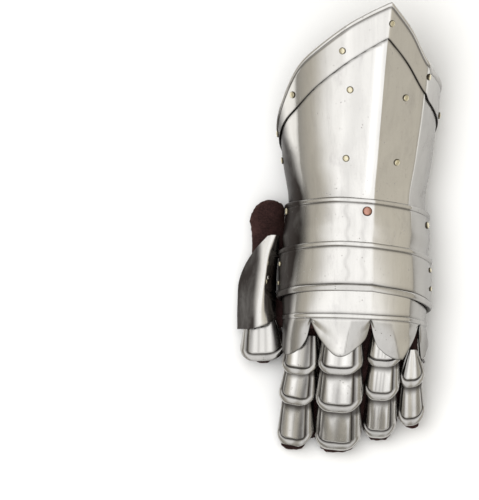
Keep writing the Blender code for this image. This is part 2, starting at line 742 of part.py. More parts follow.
FINGERS = (
    ("index", INDEX_PATH, INDEX_SCALES, INDEX_ROLL, 0.0, STALL_HEIGHT),
    ("middle", MIDDLE_PATH, MIDDLE_SCALES, MIDDLE_ROLL, 0.0, STALL_HEIGHT),
    ("ring", RING_PATH, RING_SCALES, RING_ROLL, 0.0, STALL_HEIGHT),
    ("little", LITTLE_PATH, LITTLE_SCALES, LITTLE_ROLL, LITTLE_DROP, LITTLE_STALL_HEIGHT),
)


def whole_glove(suede_material):
    """The glove as one hollow body, open at the wrist."""
    outer = loft("glove", palm_rings(0.0, 0.0), suede_material)
    for _, *shape in FINGERS:
        combine(outer, loft("stall", finger_stall(*shape, 0.0)), "UNION")
    combine(outer, loft("thumb", flat_rings(THUMB_RINGS, 0.0)), "UNION")
    combine(outer, loft("web", flat_rings(WEB_RINGS, 0.0)), "UNION")
    hollow = loft("hollow", palm_rings(SUEDE, 0.01 * LENGTH))
    for _, *shape in FINGERS:
        combine(hollow, loft("stall", finger_stall(*shape, SUEDE)), "UNION")
    combine(hollow, loft("thumb", flat_rings(THUMB_RINGS, SUEDE)), "UNION")
    combine(hollow, loft("web", flat_rings(WEB_RINGS, SUEDE)), "UNION")
    return combine(outer, hollow, "DIFFERENCE")


def cut_from(whole, name, low, high, operation):
    """A piece of the glove: what lies in a box, or what lies outside it."""
    piece = whole.copy()
    piece.data = whole.data.copy()
    piece.name = name
    bpy.context.scene.collection.objects.link(piece)
    return combine(piece, box("cutter", low, high), operation)


def glove(suede_material):
    """The glove in six pieces that butt together: palm, thumb and four fingers."""
    whole = whole_glove(suede_material)
    seam = THUMB_SEAM * WIDTH
    front = PALM_STATIONS[-1] * LENGTH - SEAM_STEP
    top = THUMB_SEAM_TOP * LENGTH
    cut_from(whole, "glove_thumb", (seam, -LENGTH, -HEIGHT), (WIDTH, top, HEIGHT), "DIFFERENCE")
    cut_from(whole, "glove_palm", (seam + GAP, front, -HEIGHT), (WIDTH, top, HEIGHT), "INTERSECT")
    sides = (seam + GAP, *(share * WIDTH for share in FINGER_SEAMS), WIDTH)
    for finger, left, right in zip(FINGERS, sides, sides[1:]):
        cut_from(whole, f"glove_{finger[0]}", (left, -LENGTH, -HEIGHT), (right, front - GAP, HEIGHT),
                 "INTERSECT")
    bpy.data.objects.remove(whole)


# Thumb

def thumb_surface(place, along):
    rows = sorted(THUMB_PLATE)
    knots = [row[0] for row in rows]
    values = np.array([np.ravel(row[1:]) for row in rows])
    spots = through(knots, values, np.ravel(along)).reshape(-1, 4, 2)
    place = np.ravel(place)
    out = np.zeros((len(place), 3))
    for n, p in enumerate(place):
        spot = through([0, 1, 2, 3], spots[n], [p], np.array([0, 0.7, 0, 0]))[0]
        out[n] = (spot[0] * WIDTH, np.ravel(along)[n] * LENGTH, spot[1] * HEIGHT)
    return out


def thumb_normal(place, along):
    across = thumb_surface(np.minimum(place + 0.03, 3.0), along)
    across -= thumb_surface(np.maximum(place - 0.03, 0.0), along)
    up = thumb_surface(place, np.minimum(along + 0.003, -0.020))
    up -= thumb_surface(place, np.maximum(along - 0.003, -0.230))
    return units(np.cross(across, up))


def thumb_plate(steel):
    places = np.array([0.0, 0.3, 0.65, 1.0, 1.4, 1.9, 2.45, 3.0])
    foot = edge(THUMB_PLATE_FOOT, places)
    alongs = between(np.full(places.shape, THUMB_PLATE[0][0]), foot, np.linspace(0, 1, 8))
    grid = np.repeat(places[:, None], alongs.shape[1], axis=1)
    outer = thumb_surface(grid, alongs).reshape(*grid.shape, 3)
    normals = thumb_normal(np.ravel(grid), np.ravel(alongs)).reshape(*grid.shape, 3)
    return grid_solid("thumb_plate", outer, outer - normals * PLATE, steel)


# Rivets

def rivet(name, point, axis, radius, grip, made_of, sides=6):
    """A domed rivet: point is on the outer face, and grip is how deep its tail lies."""
    head = GAP
    profile = (
        (TAIL_RADIUS, -grip - TAIL_GAP - TAIL_HEIGHT), (TAIL_RADIUS, -grip - TAIL_GAP),
        (SHANK_RADIUS, -grip - TAIL_GAP), (SHANK_RADIUS, head), (radius, head),
        (radius * 0.78, head + HEAD_HEIGHT * 0.65), (radius * 0.3, head + HEAD_HEIGHT),
    )
    return lathe(name, point, axis, profile, sides, made_of)


def fold_slack(place):
    """Extra depth for a tail that sits inside a fold, where the plate falls away on both sides."""
    return PLATE if min(abs(place - 4.0), abs(place - 5.0)) < 0.15 else 0.0


def rivet_spot(place, along, lift):
    place = np.array([place])
    along = np.array([along])
    normal = outward(place, along)[0]
    return body(place, along)[0] + normal * lift, normal


def fix_rivets(steel_parts, metal, copper_metal):
    """All the rivets of the cuff, wrist and hand, with their holes."""
    cuff, border, wrist, second, hand = steel_parts
    border_spots = [(place_at(x, t), t) for x, t in BORDER_RIVETS] + list(BORDER_SIDE_RIVETS)
    for k, (place, along) in enumerate(border_spots):
        spot, axis = rivet_spot(place, along, GAP + BORDER_PLATE)
        grip = GAP + BORDER_PLATE + PLATE + fold_slack(place)
        for part in (border, cuff):
            pierce(part, [spot], [axis], 0.004)
        rivet(f"border_rivet_{k + 1}", spot, axis, HEAD_RADIUS, grip, metal)
    cuff_spots = [(place_at(x, t), t) for x, t in CUFF_RIVETS] + list(CUFF_SIDE_RIVETS)
    for k, (place, along) in enumerate(cuff_spots):
        spot, axis = rivet_spot(place, along, 0.0)
        pierce(cuff, [spot], [axis], 0.004)
        rivet(f"cuff_rivet_{k + 1}", spot, axis, HEAD_RADIUS, PLATE, metal)
    across, along = COPPER_RIVET
    lift = LAP_GAP + PLATE
    spot, axis = rivet_spot(place_at(across, along), along, lift)
    pierce(wrist, [spot], [axis], 0.004)
    rivet("copper_rivet", spot, axis, COPPER_RADIUS, PLATE, copper_metal, 12)
    pairs = (
        ("wrist_pivot", WRIST_PIVOTS, wrist, cuff, HEAD_RADIUS),
        ("second_pivot", SECOND_PIVOTS, second, wrist, SMALL_RADIUS),
        ("hand_pivot", HAND_PIVOTS, second, hand, SMALL_RADIUS),
    )
    for name, spots, over, under, radius in pairs:
        for side, (place, along) in zip(("thumb_side", "little_side"), spots):
            spot, axis = rivet_spot(place, along, lift)
            for part in (over, under):
                pierce(part, [spot], [axis], 0.005)
            rivet(f"{name}_{side}", spot, axis, radius, 2 * PLATE + LAP_GAP, metal)


def thumb_rivet(plate, steel):
    """The small ring rivet that holds the thumb plate to the suede."""
    places = np.linspace(0.0, 3.0, 61)
    across, along = THUMB_RIVET
    x = thumb_surface(places, np.full(places.shape, along))[:, 0]
    place = np.array([np.interp(across * WIDTH, x, places)])
    spot = thumb_surface(place, [along])[0]
    axis = thumb_normal(place, np.array([along]))[0]
    pierce(plate, [spot], [axis], 0.004)
    rivet("thumb_rivet", spot, axis, SMALL_RADIUS, PLATE, steel)


# Strap and buckle, on the palm side of the wrist

def ribbon(name, path, first, last, made_of, points=26):
    """A strap between two shares of LENGTH. Path gives its middle line at either edge."""
    rings = []
    lines = []
    for along in (first, last):
        line = np.asarray(path(along))
        gone = np.concatenate([[0.0], np.cumsum(np.linalg.norm(np.diff(line, axis=0), axis=1))])
        share = gone / gone[-1]
        spots = through(share, line, np.linspace(0.0, 1.0, points))
        way = units(np.gradient(spots, axis=0))
        normal = np.stack([-way[:, 1], way[:, 0]], axis=1)
        lines.append((spots + normal * STRAP / 2, spots - normal * STRAP / 2))
    for k in range(points):
        ring = []
        for (upper, lower), along in zip(lines, (first, last)):
            pair = (upper[k], lower[k]) if along == first else (lower[k], upper[k])
            ring += [(x, along * LENGTH, z) for x, z in pair]
        rings.append(ring)
    return triangulated(loft(name, rings, made_of))


def wall_line(places, along):
    """The middle line of a strap end that lies against the inside of the cuff."""
    places = np.asarray(places)
    where = np.full(places.shape, along)
    points = body(places, where) - outward(places, where) * (PLATE + 2 * GAP + STRAP / 2)
    return points[:, [0, 2]]


def near_bar():
    return BUCKLE_PLACE[0] * WIDTH, BUCKLE_PLACE[1] * HEIGHT


def long_strap_path(along):
    x, z = near_bar()
    far = x + BUCKLE_LENGTH - WIRE
    clear = WIRE / 2 + GAP + STRAP / 2
    under = clear + GAP * 2 + STRAP
    wall = wall_line((6.62, 6.50, 6.38, 6.26), along)[::-1]
    across = [
        (0.345 * WIDTH, 0.100 * HEIGHT), (0.24 * WIDTH, 0.095 * HEIGHT),
        (0.10 * WIDTH, 0.110 * HEIGHT), (far + 0.005, z + clear + 0.0001),
        (far, z + clear + 0.0002), (far - 0.006, z + clear * 0.45),
        (x + 0.0045, z - under * 0.80), (x, z - under), (x - 0.004, z - under),
        (x - 0.0075, z - under),
    ]
    return [*wall, *across]


def short_strap_path(along):
    x, z = near_bar()
    wall = wall_line((0.50, 0.60, 0.70, 0.80), along)[::-1]
    round_bar = WIRE / 2 * 1.42 + GAP * 0.8 + STRAP / 2
    loop = [(x - 0.0055, z + round_bar + 0.0004), (x - 0.002, z + round_bar)]
    for turn in (70, 35, 0, -35, -70):
        angle = math.radians(turn)
        loop.append((x + round_bar * math.cos(angle), z + round_bar * math.sin(angle)))
    loop += [(x - 0.0018, z - round_bar + 0.0002), (x - 0.0045, z - round_bar * 0.7)]
    loop.append((x - 0.007, z - 0.0003))
    return [*wall, (x - 0.0092, z + round_bar + 0.0012), *loop]


def box(name, low, high, made_of=None):
    (x0, y0, z0), (x1, y1, z1) = low, high
    rings = [[(x0, y0, z), (x1, y0, z), (x1, y1, z), (x0, y1, z)] for z in (z0, z1)]
    return triangulated(loft(name, rings, made_of))


def strap_and_buckle(cuff, leather, steel, metal):
    x, z = near_bar()
    middle = STRAP_PLACE * LENGTH
    half = STRAP_WIDTH / LENGTH / 2
    first, last = STRAP_PLACE - half, STRAP_PLACE + half
    strap = ribbon("strap", long_strap_path, first, last, leather, 26)
    short = ribbon("strap_end", short_strap_path, first, last, leather, 26)
    frame = box("buckle_frame", (x - WIRE / 2, middle - BUCKLE_WIDTH / 2, z - WIRE / 2),
                (x + BUCKLE_LENGTH - WIRE / 2, middle + BUCKLE_WIDTH / 2, z + WIRE / 2), steel)
    opening = box("cutter", (x + WIRE / 2, middle - BUCKLE_WIDTH / 2 + WIRE, z - WIRE),
                  (x + BUCKLE_LENGTH - 1.5 * WIRE, middle + BUCKLE_WIDTH / 2 - WIRE, z + WIRE))
    combine(frame, opening, "DIFFERENCE")
    ring_in = WIRE / 2 * 1.42 + GAP * 0.6
    ring_out = ring_in + 0.0011
    prong = lathe("buckle_prong", (x, middle, z), (0, 1, 0),
                  ((ring_out, -PRONG / 2), (ring_out, PRONG / 2)), 16, steel)
    far = x + BUCKLE_LENGTH - WIRE
    tip = z - WIRE / 2 - GAP - PRONG / 2
    blade = []
    for at, height in ((x + ring_in, z - 0.0002), (far, tip), (far + WIRE * 0.6, tip + 0.0001)):
        size = PRONG / 2
        blade.append([(at, middle - size, height - size), (at, middle + size, height - size),
                      (at, middle + size, height + size), (at, middle - size, height + size)])
    combine(prong, loft("blade", blade), "UNION")
    combine(prong, lathe("cutter", (x, middle, z), (0, 1, 0),
                         ((ring_in, -PRONG), (ring_in, PRONG)), 16), "DIFFERENCE")
    slot = PRONG / 2 + GAP
    loop = ring_out + STRAP + 2 * GAP
    combine(short, box("cutter", (x - ring_out - GAP, middle - slot, z - loop),
                       (x + loop, middle + slot, z + loop)), "DIFFERENCE")
    combine(strap, box("cutter", (x + ring_out - GAP, middle - slot * 1.3, z - 0.006),
                       (x + ring_out + 0.0075, middle + slot * 1.3, z + 0.006)), "DIFFERENCE")
    for side, place, part in (("thumb", 0.56, short), ("little", 6.44, strap)):
        spot, axis = rivet_spot(place, STRAP_PLACE, 0.0)
        for cut in (cuff, part):
            pierce(cut, [spot], [axis], 0.006)
        rivet(f"strap_rivet_{side}_side", spot, axis, SMALL_RADIUS, PLATE + GAP + STRAP, steel)


def main():
    for obj in list(bpy.data.objects):
        bpy.data.objects.remove(obj)
    steel = polished_steel()
    metal = brass()
    cuff = cuff_plate(steel)
    border = cuff_border(steel)
    over = LAP_GAP + PLATE
    wrist = lame("wrist_lame", WRIST_TOP, WRIST_FOOT, over, 0.0, 0.09, 0.0, steel)
    second = lame("second_lame", SECOND_TOP, SECOND_FOOT, over, over, 0.10, 0.14, steel)
    hand = hand_plate(steel)
    fix_rivets((cuff, border, wrist, second, hand), metal, copper())
    for name, path, scales, roll, *_ in FINGERS:
        for k, span in enumerate(scales):
            leaf = LITTLE_LEAF if name == "little" and k == 0 else 0.0
            finger_scale(f"{name}_scale_{k + 1}", path, span, roll, steel, leaf)
    finger_scale("thumb_scale", THUMB_PATH, THUMB_SCALE, 0.0, steel, THUMB_LEAF)
    thumb_rivet(thumb_plate(steel), steel)
    strap_and_buckle(cuff, strap_leather(), steel, metal)
    glove(suede())


main()
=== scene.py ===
"""A left-hand steel gauntlet in the gothic style, lying palm down, finished for the camera.

Polished plates with rolled rims, brass and copper rivets, suede glove fingers under the scales,
and a leather strap with a buckle. X runs from the thumb to the little finger, Y up the forearm
and Z up from the surface that the gauntlet lies on. Lengths are in metres.
"""

import functools
import math

import bmesh
import bpy
import numpy as np
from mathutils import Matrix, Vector


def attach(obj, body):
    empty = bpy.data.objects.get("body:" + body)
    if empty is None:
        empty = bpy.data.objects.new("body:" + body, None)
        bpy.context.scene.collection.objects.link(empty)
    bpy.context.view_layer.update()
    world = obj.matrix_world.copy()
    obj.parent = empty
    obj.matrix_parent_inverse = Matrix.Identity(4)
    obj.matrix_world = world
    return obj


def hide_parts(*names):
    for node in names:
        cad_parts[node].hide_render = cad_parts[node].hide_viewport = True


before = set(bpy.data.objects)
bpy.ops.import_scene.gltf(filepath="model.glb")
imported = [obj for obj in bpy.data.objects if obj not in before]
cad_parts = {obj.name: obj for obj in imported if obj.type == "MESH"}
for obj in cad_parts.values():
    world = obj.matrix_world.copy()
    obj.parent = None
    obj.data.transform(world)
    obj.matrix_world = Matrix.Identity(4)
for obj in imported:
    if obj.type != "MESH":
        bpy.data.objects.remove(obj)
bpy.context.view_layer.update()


# Overall sizes in metres
LENGTH = 0.336
WIDTH = 0.152
HEIGHT = 0.092

# Thicknesses and gaps
PLATE = 0.0012
BORDER_PLATE = 0.0010
SUEDE = 0.0016
STRAP = 0.0018
GAP = 0.0004
LAP_GAP = 0.0012

# Raised edges
BEAD_LIFT = 0.0008
ROLL_LIFT = 0.0016
BEAD_WIDTH = 0.0036
ROLL_WIDTH = 0.0052
RIM_WIDTH = 0.0046
RIM_LIFT = 0.0010
PETAL_BULGE = 0.0018

# Rivets
HEAD_RADIUS = 0.0026
COPPER_RADIUS = 0.0036
SMALL_RADIUS = 0.0019

# Strap and buckle
STRAP_WIDTH = 0.016
STRAP_PLACE = 0.082
BUCKLE_PLACE = (-0.145, 0.104)
BUCKLE_LENGTH = 0.019
BUCKLE_WIDTH = 0.024
WIRE = 0.0022
PRONG = 0.0016

# The body surface: eight lines run along the gauntlet. Each pair is a share of WIDTH from the
# middle and a share of HEIGHT, at the stations, which are shares of LENGTH from the middle.
STATIONS = (-0.299, -0.210, -0.132, -0.054, 0.009, 0.058, 0.136, 0.237, 0.371, 0.504)
THUMB_EDGE = (
    (-0.229, 0.217), (-0.229, 0.196), (-0.229, 0.152), (-0.214, 0.141), (-0.200, 0.130),
    (-0.204, 0.000), (-0.224, 0.000), (-0.239, 0.000), (-0.239, 0.000), (-0.239, 0.000),
)
THUMB_SIDE = (
    (-0.273, 0.348), (-0.273, 0.385), (-0.281, 0.375), (-0.273, 0.370), (-0.249, 0.359),
    (-0.246, 0.340), (-0.271, 0.370), (-0.293, 0.391), (-0.303, 0.402), (-0.308, 0.413),
)
THUMB_SHOULDER = (
    (-0.209, 0.545), (-0.209, 0.620), (-0.195, 0.640), (-0.180, 0.620), (-0.170, 0.609),
    (-0.170, 0.576), (-0.185, 0.641), (-0.195, 0.707), (-0.195, 0.745), (-0.190, 0.761),
)
BACK = (
    (-0.022, 0.641), (-0.022, 0.728), (-0.012, 0.772), (-0.007, 0.755), (-0.007, 0.750),
    (-0.012, 0.717), (-0.007, 0.783), (0.007, 0.859), (0.022, 0.915), (0.037, 0.935),
)
RIDGE = (
    (0.160, 0.658), (0.160, 0.742), (0.165, 0.783), (0.165, 0.772), (0.170, 0.772),
    (0.175, 0.745), (0.190, 0.821), (0.209, 0.908), (0.234, 0.967), (0.264, 0.989),
)
CREASE = (
    (0.347, 0.576), (0.347, 0.652), (0.357, 0.668), (0.352, 0.647), (0.347, 0.630),
    (0.347, 0.604), (0.377, 0.641), (0.411, 0.696), (0.446, 0.728), (0.480, 0.745),
)
LITTLE_SIDE = (
    (0.431, 0.359), (0.429, 0.402), (0.443, 0.395), (0.436, 0.380), (0.429, 0.370),
    (0.426, 0.348), (0.456, 0.370), (0.483, 0.391), (0.500, 0.402), (0.520, 0.413),
)
LITTLE_EDGE = (
    (0.406, 0.217), (0.401, 0.196), (0.411, 0.152), (0.401, 0.141), (0.397, 0.130),
    (0.392, 0.000), (0.416, 0.000), (0.436, 0.000), (0.451, 0.000), (0.460, 0.000),
)
LINES = (
    THUMB_EDGE, THUMB_SIDE, THUMB_SHOULDER, BACK, RIDGE, CREASE, LITTLE_SIDE, LITTLE_EDGE,
)
# How sharp the ridge and the crease are at each station, from 0 for round to 1 for a fold
FOLD = (0.15, 0.15, 0.15, 0.2, 0.3, 1.0, 1.0, 1.0, 1.0, 1.0)
WRIST_STATION = 5

# Edges of the plates. A place counts the eight lines from 0 to 7, and along is a share of LENGTH.
BORDER_TOP = (
    (0.0, 0.190), (1.0, 0.228), (1.5, 0.288), (2.0, 0.357), (2.5, 0.404), (3.0, 0.445),
    (3.5, 0.475), (4.0, 0.500), (4.5, 0.442), (5.0, 0.366), (5.5, 0.341), (6.0, 0.319),
    (7.0, 0.250),
)
BORDER_FOOT = (
    (0.0, 0.125), (1.0, 0.194), (1.5, 0.234), (2.0, 0.268), (2.5, 0.316), (3.0, 0.357),
    (3.5, 0.390), (4.0, 0.419), (4.5, 0.364), (5.0, 0.295), (5.5, 0.263), (6.0, 0.232),
    (7.0, 0.170),
)
BORDER_ENDS = (0.08, 6.92)
CUFF_FOOT = (
    (0.0, 0.050), (1.0, 0.013), (2.0, 0.021), (3.0, 0.044), (4.0, 0.042), (5.0, 0.012),
    (6.0, -0.018), (7.0, 0.050),
)
WRIST_TOP = (
    (0.3, 0.030), (1.0, 0.047), (2.0, 0.058), (3.0, 0.065), (4.0, 0.060), (5.0, 0.046),
    (6.0, 0.028), (6.7, 0.008),
)
WRIST_FOOT = (
    (0.3, -0.094), (1.0, -0.103), (2.0, -0.089), (3.0, -0.071), (4.0, -0.071),
    (5.0, -0.089), (6.0, -0.116), (6.7, -0.105),
)
SECOND_TOP = (
    (0.3, -0.070), (1.0, -0.055), (2.0, -0.040), (3.0, -0.033), (4.0, -0.037), (5.0, -0.052),
    (6.0, -0.074), (6.7, -0.090),
)
SECOND_FOOT = (
    (0.3, -0.172), (1.0, -0.161), (2.0, -0.149), (3.0, -0.144), (4.0, -0.146), (5.0, -0.163),
    (6.0, -0.185), (6.7, -0.195),
)
HAND_TOP = (
    (0.3, -0.118), (1.0, -0.109), (2.0, -0.112), (3.0, -0.112), (4.0, -0.112), (5.0, -0.118),
    (6.0, -0.123), (6.7, -0.130),
)
KNUCKLE = (
    (0.3, -0.208), (1.0, -0.203), (2.0, -0.200), (3.0, -0.200), (4.0, -0.203), (5.0, -0.209),
    (6.0, -0.220), (6.7, -0.224),
)
# The foot of the petals, with 1 in the last column at a notch or a corner
PETAL_FOOT = (
    (0.30, -0.236, 0), (1.00, -0.268, 0), (1.45, -0.285, 0), (1.75, -0.286, 0),
    (2.00, -0.279, 0), (2.23, -0.264, 0), (2.34, -0.245, 0), (2.42, -0.213, 1),
    (2.53, -0.233, 0), (2.66, -0.253, 0), (2.82, -0.272, 0), (3.00, -0.287, 0),
    (3.20, -0.291, 0), (3.38, -0.286, 0), (3.58, -0.274, 0), (3.76, -0.262, 0),
    (3.91, -0.243, 0), (4.00, -0.214, 1), (4.06, -0.240, 0), (4.14, -0.264, 0),
    (4.28, -0.280, 0), (4.46, -0.292, 0), (4.62, -0.297, 0), (4.79, -0.298, 1),
    (5.00, -0.273, 0), (5.28, -0.247, 0), (5.54, -0.219, 1), (5.60, -0.282, 0),
    (5.78, -0.292, 0), (6.00, -0.276, 0), (6.70, -0.242, 0),
)
PETAL_SIDES = (0.30, 2.42, 4.00, 5.54, 6.70)

# Rivets: across is a share of WIDTH, place counts the lines, along is a share of LENGTH
BORDER_RIVETS = ((0.259, 0.452), (0.022, 0.391), (-0.219, 0.293), (0.438, 0.333))
BORDER_SIDE_RIVETS = ((0.92, 0.206), (6.08, 0.247))
CUFF_RIVETS = ((0.057, 0.304), (0.037, 0.151), (0.332, 0.286), (0.288, 0.142))
CUFF_SIDE_RIVETS = ((0.95, 0.146),)
COPPER_RIVET = (0.142, 0.031)
# Pivot rivets: the places on the two sides and where they are along
WRIST_PIVOTS = ((1.22, 0.032), (5.80, 0.001))
SECOND_PIVOTS = ((1.18, -0.085), (5.85, -0.099))
HAND_PIVOTS = ((1.10, -0.127), (5.88, -0.140))

# Fingers: rows of across, along and height of the top of the finger, as shares of WIDTH, LENGTH
# and HEIGHT
INDEX_PATH = (
    (-0.187, -0.232, 0.538), (-0.190, -0.266, 0.500), (-0.197, -0.330, 0.430),
    (-0.212, -0.397, 0.310), (-0.222, -0.487, 0.133),
)
MIDDLE_PATH = (
    (0.012, -0.232, 0.665), (0.011, -0.266, 0.635), (0.006, -0.330, 0.565),
    (-0.002, -0.413, 0.400), (-0.009, -0.497, 0.119),
)
RING_PATH = (
    (0.230, -0.232, 0.655), (0.227, -0.266, 0.625), (0.220, -0.313, 0.575),
    (0.208, -0.386, 0.425), (0.198, -0.469, 0.135),
)
LITTLE_PATH = (
    (0.372, -0.252, 0.550), (0.370, -0.283, 0.515), (0.362, -0.350, 0.415),
    (0.360, -0.442, 0.210),
)
# Where the scales of each finger begin and end, as shares of LENGTH, and their half width and
# the depth of their sides, as shares of WIDTH
INDEX_SCALES = (
    (-0.243, -0.330, 0.077, 0.058), (-0.312, -0.397, 0.077, 0.060),
    (-0.380, -0.489, 0.073, 0.058),
)
MIDDLE_SCALES = (
    (-0.243, -0.330, 0.094, 0.058), (-0.312, -0.413, 0.099, 0.062),
    (-0.396, -0.496, 0.098, 0.060),
)
RING_SCALES = (
    (-0.243, -0.313, 0.068, 0.056), (-0.296, -0.386, 0.068, 0.058),
    (-0.369, -0.469, 0.067, 0.056),
)
LITTLE_SCALES = ((-0.277, -0.357, 0.045, 0.038), (-0.340, -0.442, 0.047, 0.044))
INDEX_ROLL = 18.0
MIDDLE_ROLL = 9.0
RING_ROLL = 6.0
LITTLE_ROLL = -8.0
LITTLE_LEAF = 0.75
THUMB_SIDE_LEAF = 0.6
SHINGLE_START = -0.0006
SHINGLE_LIFT = 0.0030

# The cross section of a scale: across as a share of its half width, depth as a share of its
# side depth
SCALE_SECTION = (
    (-1.00, 1.00), (-1.00, 0.58), (-0.93, 0.22), (-0.70, 0.04), (0.00, 0.00),
    (0.70, 0.04), (0.93, 0.22), (1.00, 0.58), (1.00, 1.00),
)

# Thumb plate: rows of along, then across and height of its left edge, ridge, face and right edge
THUMB_PLATE = (
    (-0.020, (-0.345, 0.290), (-0.330, 0.330), (-0.306, 0.325), (-0.288, 0.300)),
    (-0.054, (-0.415, 0.200), (-0.355, 0.355), (-0.326, 0.345), (-0.296, 0.300)),
    (-0.116, (-0.487, 0.120), (-0.376, 0.370), (-0.342, 0.350), (-0.306, 0.290)),
    (-0.174, (-0.499, 0.100), (-0.400, 0.360), (-0.350, 0.340), (-0.308, 0.280)),
    (-0.230, (-0.500, 0.150), (-0.420, 0.345), (-0.355, 0.335), (-0.304, 0.300)),
)
THUMB_PLATE_FOOT = ((0.0, -0.230), (1.0, -0.228), (2.0, -0.219), (3.0, -0.206))
THUMB_PATH = (
    (-0.378, -0.200, 0.240), (-0.376, -0.232, 0.242), (-0.372, -0.270, 0.225),
    (-0.371, -0.300, 0.185),
)
THUMB_SCALE = (-0.210, -0.299, 0.094, 0.055)
THUMB_LEAF = 0.25
THUMB_RIVET = (-0.346, -0.115)

# The thumb of the glove: across, along, height, half width and half height of its rings, as
# shares of WIDTH, LENGTH, HEIGHT, WIDTH and HEIGHT
THUMB_RINGS = (
    (-0.335, 0.058, 0.215, 0.030, 0.040), (-0.340, 0.050, 0.212, 0.055, 0.075),
    (-0.352, 0.025, 0.190, 0.080, 0.095), (-0.358, -0.018, 0.130, 0.072, 0.080),
    (-0.368, -0.078, 0.145, 0.058, 0.078), (-0.375, -0.150, 0.140, 0.058, 0.080),
    (-0.376, -0.215, 0.115, 0.056, 0.072), (-0.373, -0.270, 0.100, 0.064, 0.075),
    (-0.371, -0.298, 0.092, 0.048, 0.060), (-0.371, -0.306, 0.090, 0.022, 0.030),
)
WEB_RINGS = (
    (-0.265, -0.160, 0.105, 0.100, 0.040), (-0.255, -0.172, 0.105, 0.125, 0.072),
    (-0.255, -0.212, 0.105, 0.125, 0.072), (-0.265, -0.226, 0.105, 0.100, 0.040),
)
PALM_STATIONS = (-0.156, -0.180, -0.205, -0.228)
PALM_HEIGHT = 0.085
GLOVE_CLEARANCE = 0.0008
STALL_HEIGHT = 0.68
LITTLE_STALL_HEIGHT = 0.92
STALL_TIP = 0.036
STALL_ROOT = 0.012
STALL_SHORT = 0.030
LITTLE_DROP = 0.0022


# Shared shapes

def ease(value, low, high):
    """A smooth step from 0 at low to 1 at high."""
    share = np.clip((np.asarray(value, float) - low) / (high - low), 0.0, 1.0)
    return share * share * (3.0 - 2.0 * share)


def hump(value, middle, half):
    """A rounded ridge of height 1, one half wide on each side of its middle."""
    share = np.clip(np.abs(np.asarray(value, float) - middle) / half, 0.0, 1.0)
    return np.sqrt(1.0 - share * share)


def swell(value, middle, half):
    """A soft bump of height 1 that runs out smoothly."""
    share = np.clip(np.abs(np.asarray(value, float) - middle) / half, 0.0, 1.0)
    return 0.5 + 0.5 * np.cos(math.pi * share)


def waves(points, size, seed):
    """Slow, shallow unevenness from -1 to 1, as a hammer and file leave it."""
    rng = np.random.default_rng(seed)
    total = np.zeros(points.shape[:-1])
    for _ in range(7):
        way = units(rng.normal(size=3))
        turn = rng.uniform(0.0, 2.0 * math.pi)
        stretch = rng.uniform(0.7, 1.6)
        total += np.sin(points @ way * 2.0 * math.pi / (size * stretch) + turn)
    return total / 3.5


def darkest(*tones):
    """The strongest of several tones at each point."""
    return functools.reduce(np.maximum, tones)


def spread(places, alongs):
    """The places round the body, repeated for each column of alongs."""
    return np.repeat(places[:, None], alongs.shape[1], axis=1)


def run_length(points):
    """The length of a line up to each of its points."""
    steps = np.linalg.norm(np.diff(points, axis=0), axis=1)
    return np.concatenate([[0.0], np.cumsum(steps)])


def evenly(line, values, count):
    """Values in even steps along a line, on smooth curves through the values at its points."""
    gone = run_length(line)
    return through(gone / gone[-1], values, np.linspace(0.0, 1.0, count))


def loop_faces(rings, count, closed=False):
    """Faces of a tube through rings of count points, joined end to end or capped at its ends."""
    last = (rings - 1) * count
    faces = [] if closed else [tuple(range(count))[::-1], tuple(range(last, last + count))]
    for i in range(rings if closed else rings - 1):
        n = (i + 1) % rings
        for j in range(count):
            k = (j + 1) % count
            faces.append((i * count + j, i * count + k, n * count + k, n * count + j))
    return faces


def grid_normals(points):
    """Unit normals of a grid of points, from the way across and the way along."""
    across = np.gradient(points, axis=0)
    along = np.gradient(points, axis=1)
    return units(np.cross(across, along))


def linked(mesh, name):
    obj = bpy.data.objects.new(name, mesh)
    bpy.context.scene.collection.objects.link(obj)
    return obj


def mesh_of(name, verts, faces):
    mesh = bpy.data.meshes.new(name)
    mesh.from_pydata(np.asarray(verts).tolist(), [], [tuple(f) for f in faces])
    return mesh


def sheet_faces(columns, rows):
    """Faces of a closed sheet: the outer grid, the inner grid and the rim that joins them."""
    i, j = np.meshgrid(np.arange(columns - 1), np.arange(rows - 1), indexing="ij")
    a = (i * rows + j).ravel()
    outer = np.stack([a, a + rows, a + rows + 1, a + 1], axis=1)
    inner = outer[:, ::-1] + columns * rows
    loop = [k * rows for k in range(columns)]
    loop += [(columns - 1) * rows + k for k in range(1, rows)]
    loop += [k * rows + rows - 1 for k in range(columns - 2, -1, -1)]
    loop += [k for k in range(rows - 2, 0, -1)]
    loop = np.array(loop)
    following = np.roll(loop, -1)
    under = columns * rows
    rim = np.stack([following, loop, loop + under, following + under], axis=1)
    return np.concatenate([outer, inner, rim])


def plate(name, outer, inner, finish, tone, edge_round=0.0003, fold=38.0):
    """A closed sheet with rounded edges. Tone is 0 on bright metal and 1 where it is dark."""
    columns, rows = outer.shape[:2]
    verts = np.concatenate([outer.reshape(-1, 3), inner.reshape(-1, 3)])
    mesh = mesh_of(name, verts, sheet_faces(columns, rows))
    shade = np.concatenate([tone.ravel(), np.maximum(tone.ravel(), 0.55)])
    with_tone(mesh, shade)
    work = facing_out(mesh, 2e-6)
    sharp = [e for e in work.edges if e.is_manifold and e.calc_face_angle(0.0) > math.radians(58)]
    bmesh.ops.bevel(work, geom=sharp, offset=edge_round, segments=2, profile=0.6, affect="EDGES",
                    clamp_overlap=True)
    work.to_mesh(mesh)
    work.free()
    return smooth_piece(mesh, name, finish, fold)


def facing_out(mesh, merge=None):
    """Turns every face outwards, after points that lie within merge of each other are joined."""
    work = bmesh.new()
    work.from_mesh(mesh)
    if merge:
        bmesh.ops.remove_doubles(work, verts=work.verts, dist=merge)
    bmesh.ops.recalc_face_normals(work, faces=work.faces)
    return work


